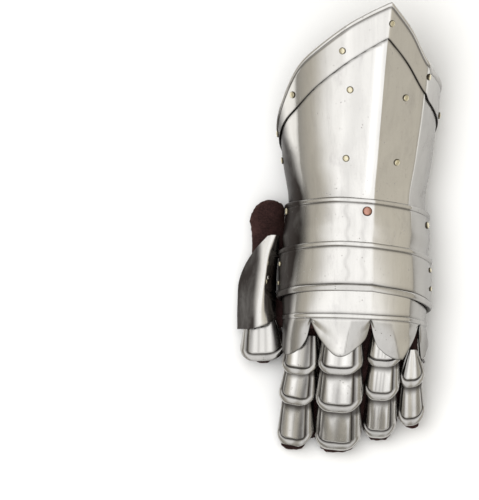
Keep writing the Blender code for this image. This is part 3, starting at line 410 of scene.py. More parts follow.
def with_tone(mesh, tone):
    mesh.attributes.new("tone", "FLOAT", "POINT").data.foreach_set("value", tone)


def smooth_piece(mesh, name, finish, fold=50.0):
    """Smooth shading up to a fold's angle, and one finish."""
    mesh.polygons.foreach_set("use_smooth", [True] * len(mesh.polygons))
    mesh.set_sharp_from_angle(angle=math.radians(fold))
    mesh.materials.append(finish)
    return linked(mesh, name)


def place_piece(obj, body_name, slot, *nodes):
    """Ties a finished piece to its body and hides the plain solids that it stands for. Slot, the
    name of its finish, is not used.
    """
    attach(obj, body_name)
    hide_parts(*nodes)
    return obj


# Surfaces and lines of the gauntlet

# Steps, in places round the body and in shares of LENGTH, over which a slope is measured
STEP_ROUND = 0.02
STEP_ALONG = 0.002
THUMB_STEP_ROUND = 0.03
THUMB_STEP_ALONG = 0.003
# How sharp the thumb plate's ridge is at its four lines, from 0 for round to 1 for a fold
THUMB_RIDGE = (0.0, 0.7, 0.0, 0.0)


def cubic(s, span, start, leaving, end, arriving):
    """Points at shares s of a span, on curves with the given slopes at their two ends."""
    return (
        (2 * s**3 - 3 * s**2 + 1) * start
        + (s**3 - 2 * s**2 + s) * span * leaving
        + (3 * s**2 - 2 * s**3) * end
        + (s**3 - s**2) * span * arriving
    )


def through(knots, values, at, keen=0.0):
    """A smooth curve through values at knots. Where keen is 1 the curve turns a corner."""
    knots = np.asarray(knots, float)
    values = np.asarray(values, float).reshape(len(knots), -1)
    keen = np.asarray(keen, float)
    if keen.ndim == 1:
        keen = keen[:, None]
    keen = np.broadcast_to(keen, values.shape)
    at = np.clip(np.asarray(at, float), knots[0], knots[-1])
    steps = np.diff(knots)[:, None]
    slopes = np.diff(values, axis=0) / steps
    before = np.vstack([slopes[:1], slopes])
    after = np.vstack([slopes, slopes[-1:]])
    ahead = np.vstack([steps, steps[-1:]])
    behind = np.vstack([steps[:1], steps])
    smooth = (before * ahead + after * behind) / (ahead + behind)
    into = smooth + (before - smooth) * keen
    out = smooth + (after - smooth) * keen
    i = np.clip(np.searchsorted(knots, at, side="right") - 1, 0, len(knots) - 2)
    s = ((at - knots[i]) / np.diff(knots)[i])[:, None]
    h = np.diff(knots)[i][:, None]
    return cubic(s, h, values[i], out[i], values[i + 1], into[i + 1])


def edge(rows, place):
    """Where an edge runs, as a share of LENGTH, at each place round the body."""
    rows = np.asarray(rows, float)
    keen = rows[:, 2] if rows.shape[1] > 2 else (rows[:, 0] == 4.0).astype(float)
    return through(rows[:, 0], rows[:, 1], np.ravel(place), keen)[:, 0].reshape(np.shape(place))


def body(place, along):
    """Points on the body surface, at places round it and shares of LENGTH along it."""
    shape = np.shape(place)
    place = np.clip(np.ravel(place), 0.0, 7.0)
    along = np.ravel(along)
    table = np.array(LINES, float).transpose(1, 0, 2).reshape(len(STATIONS), 16)
    keen = np.zeros(table.shape)
    keen[WRIST_STATION, [0, 1, 14, 15]] = 1.0
    points = through(STATIONS, table, along, keen).reshape(-1, 8, 2)
    fold = through(STATIONS, FOLD, along)[:, 0]
    i = np.clip(place.astype(int), 0, 6)
    s = (place - i)[:, None]
    n = np.arange(len(place))

    def tangent(k, step):
        near = points[n, np.clip(k, 0, 7)]
        one_side = (points[n, np.clip(k + step, 0, 7)] - near) * step
        other = (near - points[n, np.clip(k - step, 0, 7)]) * step
        both = np.where(((k == 0) | (k == 7))[:, None], one_side, (one_side + other) / 2)
        share = np.where((k == 4) | (k == 5), fold, 0.0)[:, None]
        return both + (one_side - both) * share

    flat = cubic(s, 1.0, points[n, i], tangent(i, 1), points[n, i + 1], tangent(i + 1, -1))
    out = np.stack([flat[:, 0] * WIDTH, along * LENGTH, flat[:, 1] * HEIGHT], axis=1)
    return out.reshape(*shape, 3)


def units(vectors):
    return vectors / np.linalg.norm(vectors, axis=-1, keepdims=True)


def outward(place, along):
    """The unit normal of the body surface, pointing out."""
    place = np.asarray(place, float)
    along = np.asarray(along, float)
    right = body(np.minimum(place + STEP_ROUND, 7.0), along)
    left = body(np.maximum(place - STEP_ROUND, 0.0), along)
    up = body(place, np.minimum(along + STEP_ALONG, STATIONS[-1]))
    down = body(place, np.maximum(along - STEP_ALONG, STATIONS[0]))
    return units(np.cross(right - left, up - down))


def place_at(across, along):
    """The place round the back whose point lies at this share of WIDTH."""
    places = np.linspace(1.0, 6.0, 501)
    x = body(places, np.full(places.shape, along))[:, 0]
    return float(np.interp(across * WIDTH, x, places))


def between(start, end, shares):
    """Rows of a grid from the start edge to the end edge, at the given shares of the way."""
    return start[:, None] + (end - start)[:, None] * np.asarray(shares, float)


def along_finger(path, along):
    """Points on the top of a finger and its frame there: side, up."""
    rows = np.asarray(path, float)[::-1]
    at = np.ravel(along)
    sizes = np.array([WIDTH, LENGTH, HEIGHT])

    def top(where):
        spot = through(rows[:, 1], rows[:, [0, 2]], where)
        return np.stack([spot[:, 0], where, spot[:, 1]], axis=1) * sizes

    middle = np.clip(at, rows[0, 1] + STEP_ALONG, rows[-1, 1] - STEP_ALONG)
    ahead = units(top(middle + STEP_ALONG) - top(middle - STEP_ALONG))
    side = np.broadcast_to([1.0, 0.0, 0.0], ahead.shape)
    up = units(np.cross(side, ahead))
    return top(at), units(np.cross(ahead, up)), up


def rolled(side, up, roll):
    """Turns a finger's frame towards the thumb by roll degrees."""
    turn = math.radians(roll)
    new_up = up * math.cos(turn) - side * math.sin(turn)
    new_side = side * math.cos(turn) + up * math.sin(turn)
    return new_side, new_up


def ring_points(centre, side, up, half_width, half_height, sides):
    turns = (2 * math.pi * np.arange(sides) / sides)[:, None]
    return centre + side * (half_width * np.cos(turns)) + up * (half_height * np.sin(turns))


def scale_sizes(scales, alongs):
    """The half width and the depth of a finger's scales, at places along it."""
    ends = [-s[1] for s in scales]
    return [np.interp(-alongs, ends, [s[k] for s in scales]) * WIDTH for k in (2, 3)]


def finger_stall(path, scales, roll, drop, height, sides):
    """Rings of the suede round one finger."""
    start = PALM_STATIONS[-1] + STALL_ROOT
    alongs = np.array([start, *(np.mean(s[:2]) for s in scales[:-1]), scales[-1][0],
                       scales[-1][1] + STALL_SHORT])
    halves, _ = scale_sizes(scales, alongs)
    top, side, up = along_finger(path, alongs)
    side, up = rolled(side, up, roll)
    rings = []
    for i in range(len(alongs)):
        half_height = halves[i] * height
        centre = top[i] - up[i] * (PLATE + GLOVE_CLEARANCE + drop + half_height)
        half_width = halves[i] - PLATE - GLOVE_CLEARANCE
        rings.append(ring_points(centre, side[i], up[i], half_width, half_height, sides))
    base = rings[-1]
    centre = base.mean(axis=0)
    onward = -np.cross(up[-1], side[-1])
    for share, size in ((0.65, 0.84), (1.0, 0.35)):
        rings.append(centre + onward * STALL_TIP * LENGTH * share + (base - centre) * size)
    return rings


def flat_rings(rows, sides):
    """Rings across the thumb of the glove."""
    rings = []
    for across, along, height, half_width, half_height in rows:
        centre = np.array([across * WIDTH, along * LENGTH, height * HEIGHT])
        rings.append(ring_points(centre, np.array([1.0, 0.0, 0.0]), np.array([0.0, 0.0, 1.0]),
                                 half_width * WIDTH, half_height * HEIGHT, sides))
    return rings


def palm_rings():
    """Rings round the hand, inside the hand plate and closed across the palm."""
    rings = []
    for along in PALM_STATIONS:
        places = np.linspace(0.3, 6.7, 14)
        where = np.full(places.shape, along)
        back = body(places, where) - outward(places, where) * (PLATE + GLOVE_CLEARANCE)
        left, right = back[0], back[-1]
        palm = []
        for share, raised in ((0.05, 0.02), (0.35, 0.0), (0.65, 0.0), (0.95, 0.02)):
            palm.append([right[0] + (left[0] - right[0]) * share, along * LENGTH,
                         (PALM_HEIGHT + raised) * HEIGHT])
        ring = np.concatenate([back, palm])
        ring[:, 1] = along * LENGTH
        rings.append(ring)
    return rings


FINGERS = (
    ("index", INDEX_PATH, INDEX_SCALES, INDEX_ROLL, 0.0, STALL_HEIGHT),
    ("middle", MIDDLE_PATH, MIDDLE_SCALES, MIDDLE_ROLL, 0.0, STALL_HEIGHT),
    ("ring", RING_PATH, RING_SCALES, RING_ROLL, 0.0, STALL_HEIGHT),
    ("little", LITTLE_PATH, LITTLE_SCALES, LITTLE_ROLL, LITTLE_DROP, LITTLE_STALL_HEIGHT),
)


def thumb_surface(place, along):
    """Points on the thumb plate: place runs from 0 at its left edge to 3 at its right edge."""
    rows = sorted(THUMB_PLATE)
    knots = [row[0] for row in rows]
    values = np.array([np.ravel(row[1:]) for row in rows])
    spots = through(knots, values, np.ravel(along)).reshape(-1, 4, 2)
    place = np.ravel(place)
    out = np.zeros((len(place), 3))
    for n, p in enumerate(place):
        spot = through([0, 1, 2, 3], spots[n], [p], THUMB_RIDGE)[0]
        out[n] = (spot[0] * WIDTH, np.ravel(along)[n] * LENGTH, spot[1] * HEIGHT)
    return out


def thumb_normal(place, along):
    across = thumb_surface(np.minimum(place + THUMB_STEP_ROUND, 3.0), along)
    across -= thumb_surface(np.maximum(place - THUMB_STEP_ROUND, 0.0), along)
    up = thumb_surface(place, np.minimum(along + THUMB_STEP_ALONG, THUMB_PLATE[0][0]))
    up -= thumb_surface(place, np.maximum(along - THUMB_STEP_ALONG, THUMB_PLATE[-1][0]))
    return units(np.cross(across, up))


def wall_line(places, along):
    """The middle line of a strap end that lies against the inside of the cuff."""
    places = np.asarray(places)
    where = np.full(places.shape, along)
    points = body(places, where) - outward(places, where) * (PLATE + 2 * GAP + STRAP / 2)
    return points[:, [0, 2]]


def near_bar():
    """Where the buckle's near bar lies across the cuff, and its height."""
    return BUCKLE_PLACE[0] * WIDTH, BUCKLE_PLACE[1] * HEIGHT


def long_strap_path(along):
    """The strap from the little side, over the far bar and under the near bar."""
    x, z = near_bar()
    far = x + BUCKLE_LENGTH - WIRE
    clear = WIRE / 2 + GAP + STRAP / 2
    under = clear + GAP * 2 + STRAP
    wall = wall_line((6.62, 6.50, 6.38, 6.26), along)[::-1]
    across = [
        (0.345 * WIDTH, 0.100 * HEIGHT), (0.24 * WIDTH, 0.095 * HEIGHT),
        (0.10 * WIDTH, 0.110 * HEIGHT), (far + 0.005, z + clear + 0.0001),
        (far, z + clear + 0.0002), (far - 0.006, z + clear * 0.45),
        (x + 0.0045, z - under * 0.80), (x, z - under), (x - 0.004, z - under),
        (x - 0.0075, z - under),
    ]
    return [*wall, *across]


def short_strap_path(along):
    """The strap from the thumb side, folded back round the near bar."""
    x, z = near_bar()
    wall = wall_line((0.50, 0.60, 0.70, 0.80), along)[::-1]
    round_bar = WIRE / 2 * 1.42 + GAP * 0.8 + STRAP / 2
    loop = [(x - 0.0055, z + round_bar + 0.0004), (x - 0.002, z + round_bar)]
    for turn in (70, 35, 0, -35, -70):
        angle = math.radians(turn)
        loop.append((x + round_bar * math.cos(angle), z + round_bar * math.sin(angle)))
    loop += [(x - 0.0018, z - round_bar + 0.0002), (x - 0.0045, z - round_bar * 0.7)]
    loop.append((x - 0.007, z - 0.0003))
    return [*wall, (x - 0.0092, z + round_bar + 0.0012), *loop]


# Materials

# Colours as red, green, blue and cover
STEEL_DEEP = (0.67, 0.655, 0.63, 1.0)
STEEL_PALE = (0.76, 0.745, 0.715, 1.0)
STEEL_BRUSHED = (0.55, 0.535, 0.515, 1.0)
STEEL_SMUDGE = (0.42, 0.405, 0.42, 1.0)
# Painted highlight: the colour of the painted bright reflections, where tone is below 0
STEEL_SHINE = (0.95, 0.94, 0.92, 1.0)
STEEL_PIT = (0.13, 0.115, 0.11, 1.0)
STEEL_SPOT = (0.3, 0.28, 0.27, 1.0)
# Painted shade and dark reflection, with brown tarnishing: the colours where tone is high
SHADE_AND_TARNISH_DEEP = (0.013, 0.010, 0.008, 1.0)
SHADE_AND_TARNISH_PALE = (0.040, 0.032, 0.029, 1.0)
# Rivet metals: bright, dark, and the plain colour. The dark colour paints shade round the foot of
# each head and mottles the heads with a cloud.
BRASS = ((0.74, 0.68, 0.50, 1.0), (0.055, 0.042, 0.028, 1.0), (0.86, 0.74, 0.45))
COPPER = ((0.50, 0.27, 0.21, 1.0), (0.07, 0.035, 0.028, 1.0), (0.80, 0.45, 0.32))
SUEDE_DEEP = (0.005, 0.0028, 0.0028, 1.0)
SUEDE_PALE = (0.034, 0.0165, 0.0155, 1.0)
SUEDE_RUBBED = (0.048, 0.023, 0.021, 1.0)
SUEDE_SHEEN = (0.36, 0.16, 0.12, 1.0)
LEATHER_DEEP = (0.030, 0.014, 0.010, 1.0)
LEATHER_PALE = (0.085, 0.042, 0.028, 1.0)
LEATHER_WORN = (0.16, 0.085, 0.055, 1.0)
# Noise: scale per metre, detail, roughness and distortion
CLOUD_NOISE = (42.0, 4.0, 0.6, 0.6)
SMUDGE_NOISE = (75.0, 5.0, 0.65, 0.4)
SPOT_NOISE = (520.0, 2.0, 0.5)
PITTED_NOISE = (130.0, 2.0)
PIT_CELLS = 480.0
SCRATCH_NOISE = (1.0, 3.0, 0.7)
BRUSH_NOISE = (1.0, 4.0, 0.65, 0.3)
DENT_NOISE = (55.0, 2.0, 0.45)
# The stretch of a place along X, Y and Z, then its turn about each in radians
SMUDGE_WAY = ((1.0, 0.45, 1.0), (0.2, 0.1, 0.6))
SCRATCH_WAYS = (((26.0, 900.0, 26.0), (0.05, 0.0, 0.5)), ((700.0, 16.0, 60.0), (0.0, 0.1, -0.35)))
BRUSH_WAY = ((150.0, 7.0, 150.0), (0.0, 0.0, 0.06))
# Depths of the relief in metres
DENT_DEEP = 0.00016
SCRATCH_DEEP = 0.000012
PIT_DEEP = 0.00011
NAP_DEEP = 0.0006
FLOOR_COLOURS = (0.80, 0.80, 0.795, 1.0), (0.83, 0.83, 0.825, 1.0)


class Value:
    """A shader socket that can be used in sums."""

    def __init__(self, graph, socket):
        self.graph = graph
        self.socket = socket

    def _sum(self, operation, *others):
        node = self.graph.nodes.new("ShaderNodeMath")
        node.operation = operation
        for slot, item in zip(node.inputs, others):
            self.graph.join(item, slot)
        return Value(self.graph, node.outputs[0])

    def __add__(self, other):
        return self._sum("ADD", self, other)

    def __radd__(self, other):
        return self._sum("ADD", other, self)

    def __sub__(self, other):
        return self._sum("SUBTRACT", self, other)

    def __rsub__(self, other):
        return self._sum("SUBTRACT", other, self)

    def __mul__(self, other):
        return self._sum("MULTIPLY", self, other)

    def __rmul__(self, other):
        return self._sum("MULTIPLY", other, self)

    def __truediv__(self, other):
        return self._sum("DIVIDE", self, other)

    def at_least(self, other):
        return self._sum("MAXIMUM", self, other)

    def at_most(self, other):
        return self._sum("MINIMUM", self, other)

    def size(self):
        return self._sum("ABSOLUTE", self)

    def turn(self, other):
        """The angle whose tangent is this over other."""
        return self._sum("ARCTAN2", self, other)

    def between(self, low, high):
        """A smooth step from low to high."""
        node = self.graph.node(
            "ShaderNodeMapRange", {"interpolation_type": "SMOOTHSTEP"}, Value=self,
            From_Min=low, From_Max=high, To_Min=0.0, To_Max=1.0)
        return node.out("Result")


class Made:
    """A node that was added to a graph."""

    def __init__(self, graph, node):
        self.graph = graph
        self.node = node

    def out(self, name):
        return Value(self.graph, self.node.outputs[name])


class Graph:
    """The nodes of one material or of the surroundings."""

    def __init__(self, tree):
        self.tree = tree
        self.nodes = tree.nodes
        self.nodes.clear()

    def join(self, item, slot):
        if isinstance(item, Value):
            self.tree.links.new(item.socket, slot)
        else:
            slot.default_value = item

    def node(self, kind, settings=None, **values):
        """Adds a node: settings come first, then a value or a link for each named socket."""
        made = self.nodes.new(kind)
        for name, setting in (settings or {}).items():
            setattr(made, name, setting)
        for name, item in values.items():
            self.join(item, made.inputs[name.replace("_", " ")])
        return Made(self, made)

    def mix(self, share, one, other):
        """One colour where share is 0 and the other where it is 1."""
        made = self.nodes.new("ShaderNodeMix")
        made.data_type = "RGBA"
        self.join(share, made.inputs[0])
        self.join(one, made.inputs[6])
        self.join(other, made.inputs[7])
        return Value(self, made.outputs[2])

    def spot(self, scale=(1.0, 1.0, 1.0), turn=(0.0, 0.0, 0.0)):
        """The place on the object, stretched and turned."""
        source = self.node("ShaderNodeTexCoord").out("Object")
        return self.node(
            "ShaderNodeMapping", Vector=source, Scale=scale, Rotation=turn).out("Vector")

    def noise(self, where, scale, detail=3.0, roughness=0.5, distortion=0.0):
        return self.node(
            "ShaderNodeTexNoise", Vector=where, Scale=scale, Detail=detail, Roughness=roughness,
            Distortion=distortion).out("Fac")

    def cells(self, where, scale, feature="F1"):
        return self.node(
            "ShaderNodeTexVoronoi", {"feature": feature}, Vector=where, Scale=scale
        ).out("Distance")

    def attribute(self, name):
        return self.node("ShaderNodeAttribute", {"attribute_name": name}).out("Fac")

    def bump(self, height, depth, strength=1.0, over=None):
        """A normal from a height between 0 and 1, depth metres deep."""
        values = {"Height": height, "Distance": depth, "Strength": strength}
        if over is not None:
            values["Normal"] = over
        return self.node("ShaderNodeBump", **values).out("Normal")


def new_material(name, plain_colour):
    made = bpy.data.materials.new(name)
    made.use_nodes = True
    made.diffuse_color = (*plain_colour, 1.0)
    return made, Graph(made.node_tree)


def close_material(graph, **values):
    """Adds the surface shader with its constants and links."""
    shader = graph.node("ShaderNodeBsdfPrincipled", **values)
    out = graph.node("ShaderNodeOutputMaterial")
    graph.join(shader.out("BSDF"), out.node.inputs["Surface"])


def steel_finish():
    """Hand polished steel: soft waves, fine scratches, small pits and smudges. Where the tone
    attribute is high it paints shade and dark reflections, mixed with brown tarnishing, and where
    it is below 0 it paints bright reflections.
    """
    made, g = new_material("polished_steel", (0.7, 0.69, 0.66))
    plain = g.spot()
    tone = g.attribute("tone")
    cloud = g.noise(plain, *CLOUD_NOISE)
    smudge = g.noise(g.spot(*SMUDGE_WAY), *SMUDGE_NOISE)
    spots = g.noise(plain, *SPOT_NOISE)
    pits = g.cells(plain, PIT_CELLS)
    pitted = g.noise(plain, *PITTED_NOISE)
    pit = (pitted - 0.5).between(0.10, 0.20) * (0.26 - pits).between(0.0, 0.16)
    fine, cross = [g.noise(g.spot(*way), *SCRATCH_NOISE) for way in SCRATCH_WAYS]
    scratch = (fine - 0.60).between(0.0, 0.14) + (cross - 0.62).between(0.0, 0.12)
    # Painted shade and dark reflection from the tone attribute, mottled by the smudges, with some
    # tarnishing
    shade_and_tarnish = (tone + (smudge - 0.5) * 0.45 * tone.at_least(0.12)).at_least(0.0).at_most(1.0)
    # Painted bright reflection where the tone attribute is below 0
    shine = (0.0 - tone).at_least(0.0).at_most(1.0)
    clean = g.mix(cloud, STEEL_DEEP, STEEL_PALE)
    brushed = g.noise(g.spot(*BRUSH_WAY), *BRUSH_NOISE)
    clean = g.mix((brushed - 0.42).between(0.0, 0.3) * 0.35, clean, STEEL_BRUSHED)
    clean = g.mix((smudge - 0.54).between(0.0, 0.2) * 0.25, clean, STEEL_SMUDGE)
    dull = g.mix(smudge, SHADE_AND_TARNISH_DEEP, SHADE_AND_TARNISH_PALE)
    colour = g.mix(shine, clean, STEEL_SHINE)
    colour = g.mix(shade_and_tarnish, colour, dull)
    colour = g.mix((pit * 0.65).at_most(1.0), colour, STEEL_PIT)
    colour = g.mix((spots - 0.68).between(0.0, 0.08) * 0.25, colour, STEEL_SPOT)
    rough = 0.135 + (smudge - 0.5).between(0.0, 0.25) * 0.075 + shade_and_tarnish * 0.22
    rough = rough + pit * 0.2 + scratch * 0.035
    deep = g.bump(g.noise(plain, *DENT_NOISE), DENT_DEEP, 0.5)
    lines = g.bump(1.0 - scratch.at_most(1.0), SCRATCH_DEEP, 0.55, deep)
    relief = g.bump(1.0 - pit.at_most(1.0), PIT_DEEP, 0.9, lines)
    close_material(g, Base_Color=colour, Metallic=1.0, Roughness=rough, Normal=relief)
    return made


def domed_metal(name, bright, dark, plain_colour):
    """Rivet metal: painted bright on the crown and painted shade round the foot of the head, from
    the tone attribute, mottled by a cloud.
    """
    made, g = new_material(name, plain_colour)
    plain = g.spot()
    tone = g.attribute("tone")
    cloud = g.noise(plain, 420.0, 4.0, 0.6, 0.4)
    # Painted shade round the foot of the head from the tone attribute, mottled by the cloud
    share = (tone * 0.95 + (cloud - 0.5) * 0.7).at_least(0.0).at_most(1.0)
    nicked = g.noise(g.spot((1.0, 3.0, 1.0), (0.4, 0.2, 0.9)), 900.0, 3.0)
    nicks = (nicked - 0.58).between(0.0, 0.1)
    colour = g.mix(share, bright, dark)
    rough = 0.22 + share * 0.25 + nicks * 0.12
    relief = g.bump(1.0 - nicks, 0.00004, 0.6, g.bump(cloud, 0.00012, 0.5))
    close_material(g, Base_Color=colour, Metallic=1.0, Roughness=rough, Normal=relief)
    return made


def suede_finish():
    """Dark brown napped suede, lighter where it is rubbed."""
    made, g = new_material("suede", (0.055, 0.022, 0.016))
    plain = g.spot()
    nap = g.noise(plain, 900.0, 5.0, 0.75)
    patch = g.noise(plain, 85.0, 4.0, 0.6, 0.5)
    deep = g.mix(nap.between(0.3, 0.7), SUEDE_DEEP, SUEDE_PALE)
    colour = g.mix((patch - 0.45).between(0.0, 0.25) * 0.6, deep, SUEDE_RUBBED)
    grains = g.bump(g.cells(plain, 1500.0), 0.0002, 0.6)
    relief = g.bump(nap, NAP_DEEP, 0.85, g.bump(patch, 0.001, 0.4, grains))
    close_material(g, Base_Color=colour, Roughness=0.95, Sheen_Weight=0.15, Sheen_Roughness=0.6,
                   Sheen_Tint=SUEDE_SHEEN, Specular_IOR_Level=0.15, Normal=relief)
    return made


def leather_finish():
    """Smooth brown strap leather with fine grain, burnished and worn along its edges."""
    made, g = new_material("strap_leather", (0.06, 0.03, 0.02))
    plain = g.spot()
    tone = g.attribute("tone")
    grain = g.cells(plain, 1100.0, "SMOOTH_F1")
    patch = g.noise(plain, 110.0, 4.0, 0.6, 0.6)
    creases = (g.noise(g.spot((1.0, 0.15, 1.0)), 420.0, 4.0, 0.7) - 0.56).between(0.0, 0.1)
    base = g.mix(patch, LEATHER_DEEP, LEATHER_PALE)
    colour = g.mix((tone * 0.7 + creases * 0.25).at_most(1.0), base, LEATHER_WORN)
    rough = 0.5 + patch * 0.16 + tone * 0.12
    relief = g.bump(1.0 - creases, 0.0002, 0.5, g.bump(grain, 0.00022, 0.6))
    close_material(g, Base_Color=colour, Roughness=rough, Normal=relief)
    return made


def floor_finish():
    made, g = new_material("pale_floor", (0.85, 0.85, 0.84))
    cloud = g.noise(g.spot(), 6.0, 3.0)
    colour = g.mix(cloud, *FLOOR_COLOURS)
    relief = g.bump(g.noise(g.spot(), 900.0, 3.0), 0.0002, 0.2)
    close_material(g, Base_Color=colour, Roughness=0.85, Specular_IOR_Level=0.1, Normal=relief)
    return made


# Plates of the cuff, wrist and hand

# The lift of a plate that lies over another, in metres
LAP = LAP_GAP + PLATE
# The radius of a scale's rim round its two lower corners, in metres
RIM_CORNER = 0.0065
# Where the corners of a scale's foot begin, as shares of its half width on the thumb side and
# on the little side, and how far they rise, as shares of its length
CORNER_STARTS = (0.50, 0.02)
CORNER_DEPTHS = (0.19, 0.27)
# The fold of a petal: how far it swings along the petal and where it ends, in half petals
PETAL_TURN = 0.25
PETAL_FOLD = 0.09

# Depths of the grooves beside rims, and half their width
BORDER_GROOVE = 0.00028
LAME_GROOVE = 0.00025
ROLL_GROOVE = 0.0003
KNUCKLE_GROOVE = 0.0002
SCALE_GROOVE = 0.00035
GROOVE_HALF = 0.0011

# Steps of the fine meshes: the first in places round the body, the others as counts
FINE = 0.045
CUFF_ROWS = 110
BORDER_ROLL_ROWS = 13
BORDER_ROWS = 34
SCALE_COLUMNS = 81

# Tones of steel: 0 is bright and 1 is dark. Painted shade under the cuff border and on the second
# lame's roll, the scales' plain tone, and painted shade on their rims
UNDER_BORDER_SHADE = 0.8
ROLL_SHADE = 0.22
SCALE_TONE = 0.10
RIM_SHADE = 0.38


def fine_places(first, last, step=FINE, keys=()):
    """Places round the body in even steps, with one on each line and each key place."""
    count = int(round((last - first) / step))
    even = np.linspace(first, last, count + 1)
    fixed = [p for p in (*range(1, 7), *keys) if first < p < last]
    even = [p for p in even if min([abs(p - k) for k in fixed] + [1.0]) > step * 0.45]
    return np.array(sorted(set(even + fixed + [first, last])))


def wrapped(name, places, alongs, lift, under, tone, finish, level=False, ripple=0.00007, seed=1):
    """A plate over the body: lift and under are its two faces above the body surface."""
    grid = spread(places, alongs)
    points = body(grid, alongs)
    normals = outward(grid, alongs)
    uneven = waves(points, 0.034, seed) * ripple
    outer = points + normals * (lift + uneven)[..., None]
    inner = points + normals * under[..., None]
    if level:
        inner[[0, -1], :, 2] = outer[[0, -1], :, 2]
    return plate(name, outer, inner, finish, tone)


# Where the dark reflection on the thumb side ends: shares of LENGTH and places
THUMB_DARK = ((-0.30, 1.75), (-0.165, 1.98), (-0.071, 2.12), (0.002, 2.26), (0.067, 2.18),
              (0.12, 1.98), (0.16, 1.86), (0.20, 1.60), (0.30, 1.40), (0.50, 1.25))


def painted_side_reflection(places, alongs, strength=1.0):
    """Painted dark reflection on the steep planes at the two sides of the gauntlet."""
    grid = spread(places, alongs)
    limit = np.interp(alongs, *np.transpose(THUMB_DARK))
    thumb = 1.0 - ease(grid, limit - 0.34, limit + 0.14)
    little = 0.46 * ease(grid, 4.99, 5.04) + 0.20 * ease(grid, 5.3, 6.2)
    return strength * np.maximum(thumb, little)


# Painted shade, with some grime, along edges and in grooves: dark lines where plates lap and in the
# hollows beside beads and rims. The width in metres over which it fades, and its tone
EDGE_SHADE_AND_DIRT = {
    "under border": (0.0009, 0.9), "cuff foot": (0.0012, 0.6), "border groove": (0.0007, 0.95),
    "border top": (0.0004, 0.85), "border foot": (0.0005, 0.9), "lame groove": (0.0006, 0.95),
    "lame top": (0.0005, 0.9), "lame foot": (0.0008, 0.7), "roll groove": (0.0008, 1.0),
    "roll foot": (0.0006, 0.9), "knuckle groove": (0.0006, 0.8), "petal foot": (0.0012, 0.95),
    "scale groove": (0.0009, 1.1), "scale edge": (0.0007, 0.9), "thumb side": (0.0006, 0.7),
    "thumb foot": (0.0008, 0.7),
}


def edge_shade_and_dirt(kind, away):
    """The painted shade and grime of one kind of edge or groove, by the distance from it."""
    width, strength = EDGE_SHADE_AND_DIRT[kind]
    return strength * np.exp(-np.abs(away) / width)


# What the cuff mirrors. Round the body: middle place and half width. Along it, for the stripe
# and the haze, where they start and are full, and for the shade its middle and half length.
STRIPE_ROUND = (3.83, 0.17)
STRIPE_ALONG = (0.045, 0.10)
STRIPE_TONE = -0.8
SHADE_ROUND = (3.0, 0.75)
SHADE_ALONG = (0.062, 0.035)
SHADE_TONE = 0.17
HAZE_ROUND = (3.28, 0.34)
HAZE_ALONG = (0.07, 0.12)
HAZE_TONE = 0.08


def cuff_plate(steel):
    places = fine_places(0.0, 7.0)
    top = edge(BORDER_TOP, places) - 0.004
    foot = edge(CUFF_FOOT, places)
    alongs = between(top, foot, np.linspace(0.0, 1.0, CUFF_ROWS))
    zero = np.zeros(alongs.shape)
    away = (edge(BORDER_FOOT, places)[:, None] - alongs) * LENGTH
    # Painted dark reflection on the sides, painted shade under the border, and painted shade with
    # some grime along the foot
    tone = darkest(
        painted_side_reflection(places, alongs),
        np.where(away > -0.001, edge_shade_and_dirt("under border", away - 0.0003), UNDER_BORDER_SHADE),
        edge_shade_and_dirt("cuff foot", (alongs - foot[:, None]) * LENGTH))
    grid = spread(places, alongs)
    stripe = swell(grid, *STRIPE_ROUND) * ease(alongs, *STRIPE_ALONG)
    tone = np.where(tone < 0.05, STRIPE_TONE * stripe, tone)
    shade = swell(grid, *SHADE_ROUND) * swell(alongs, *SHADE_ALONG)
    haze_round = HAZE_ROUND[0] + 0.06 * np.sin(alongs * 30.0)
    haze = swell(grid, haze_round, HAZE_ROUND[1]) * ease(alongs, *HAZE_ALONG)
    mirrored = SHADE_TONE * shade + HAZE_TONE * haze
    tone = np.where(shade + haze > 0.05, np.maximum(tone, mirrored), tone)
    piece = wrapped("fine_cuff_plate", places, alongs, zero, zero - PLATE, tone, steel, True,
                    seed=3)
    return place_piece(piece, "cuff", "polished_steel", "cuff_plate")


def cuff_border(steel):
    places = fine_places(*BORDER_ENDS)
    top = edge(BORDER_TOP, places)
    foot = edge(BORDER_FOOT, places)
    roll = BEAD_WIDTH / LENGTH
    rolled_rows = top[:, None] - roll * np.linspace(0.0, 1.0, BORDER_ROLL_ROWS)
    flat_rows = between(rolled_rows[:, -1], foot, np.linspace(0.0, 1.0, BORDER_ROWS)[1:])
    alongs = np.concatenate([rolled_rows, flat_rows], axis=1)
    away = (top[:, None] - alongs) * LENGTH
    base = np.full(alongs.shape, GAP + BORDER_PLATE)
    groove = swell(away, BEAD_WIDTH * 1.12, GROOVE_HALF) * BORDER_GROOVE
    lifted = base + RIM_LIFT * hump(away, BEAD_WIDTH / 2, BEAD_WIDTH / 2) - groove
    low = (alongs - foot[:, None]) * LENGTH
    # Painted dark reflection on the sides, and painted shade with some grime in the groove and
    # along the top and the foot
    tone = darkest(
        painted_side_reflection(places, alongs, 0.9), edge_shade_and_dirt("border groove", away - BEAD_WIDTH * 1.12),
        edge_shade_and_dirt("border top", away), edge_shade_and_dirt("border foot", low))
    piece = wrapped("fine_cuff_border", places, alongs, lifted, base - BORDER_PLATE, tone, steel,
                    seed=5)
    return place_piece(piece, "cuff", "polished_steel", "cuff_border")


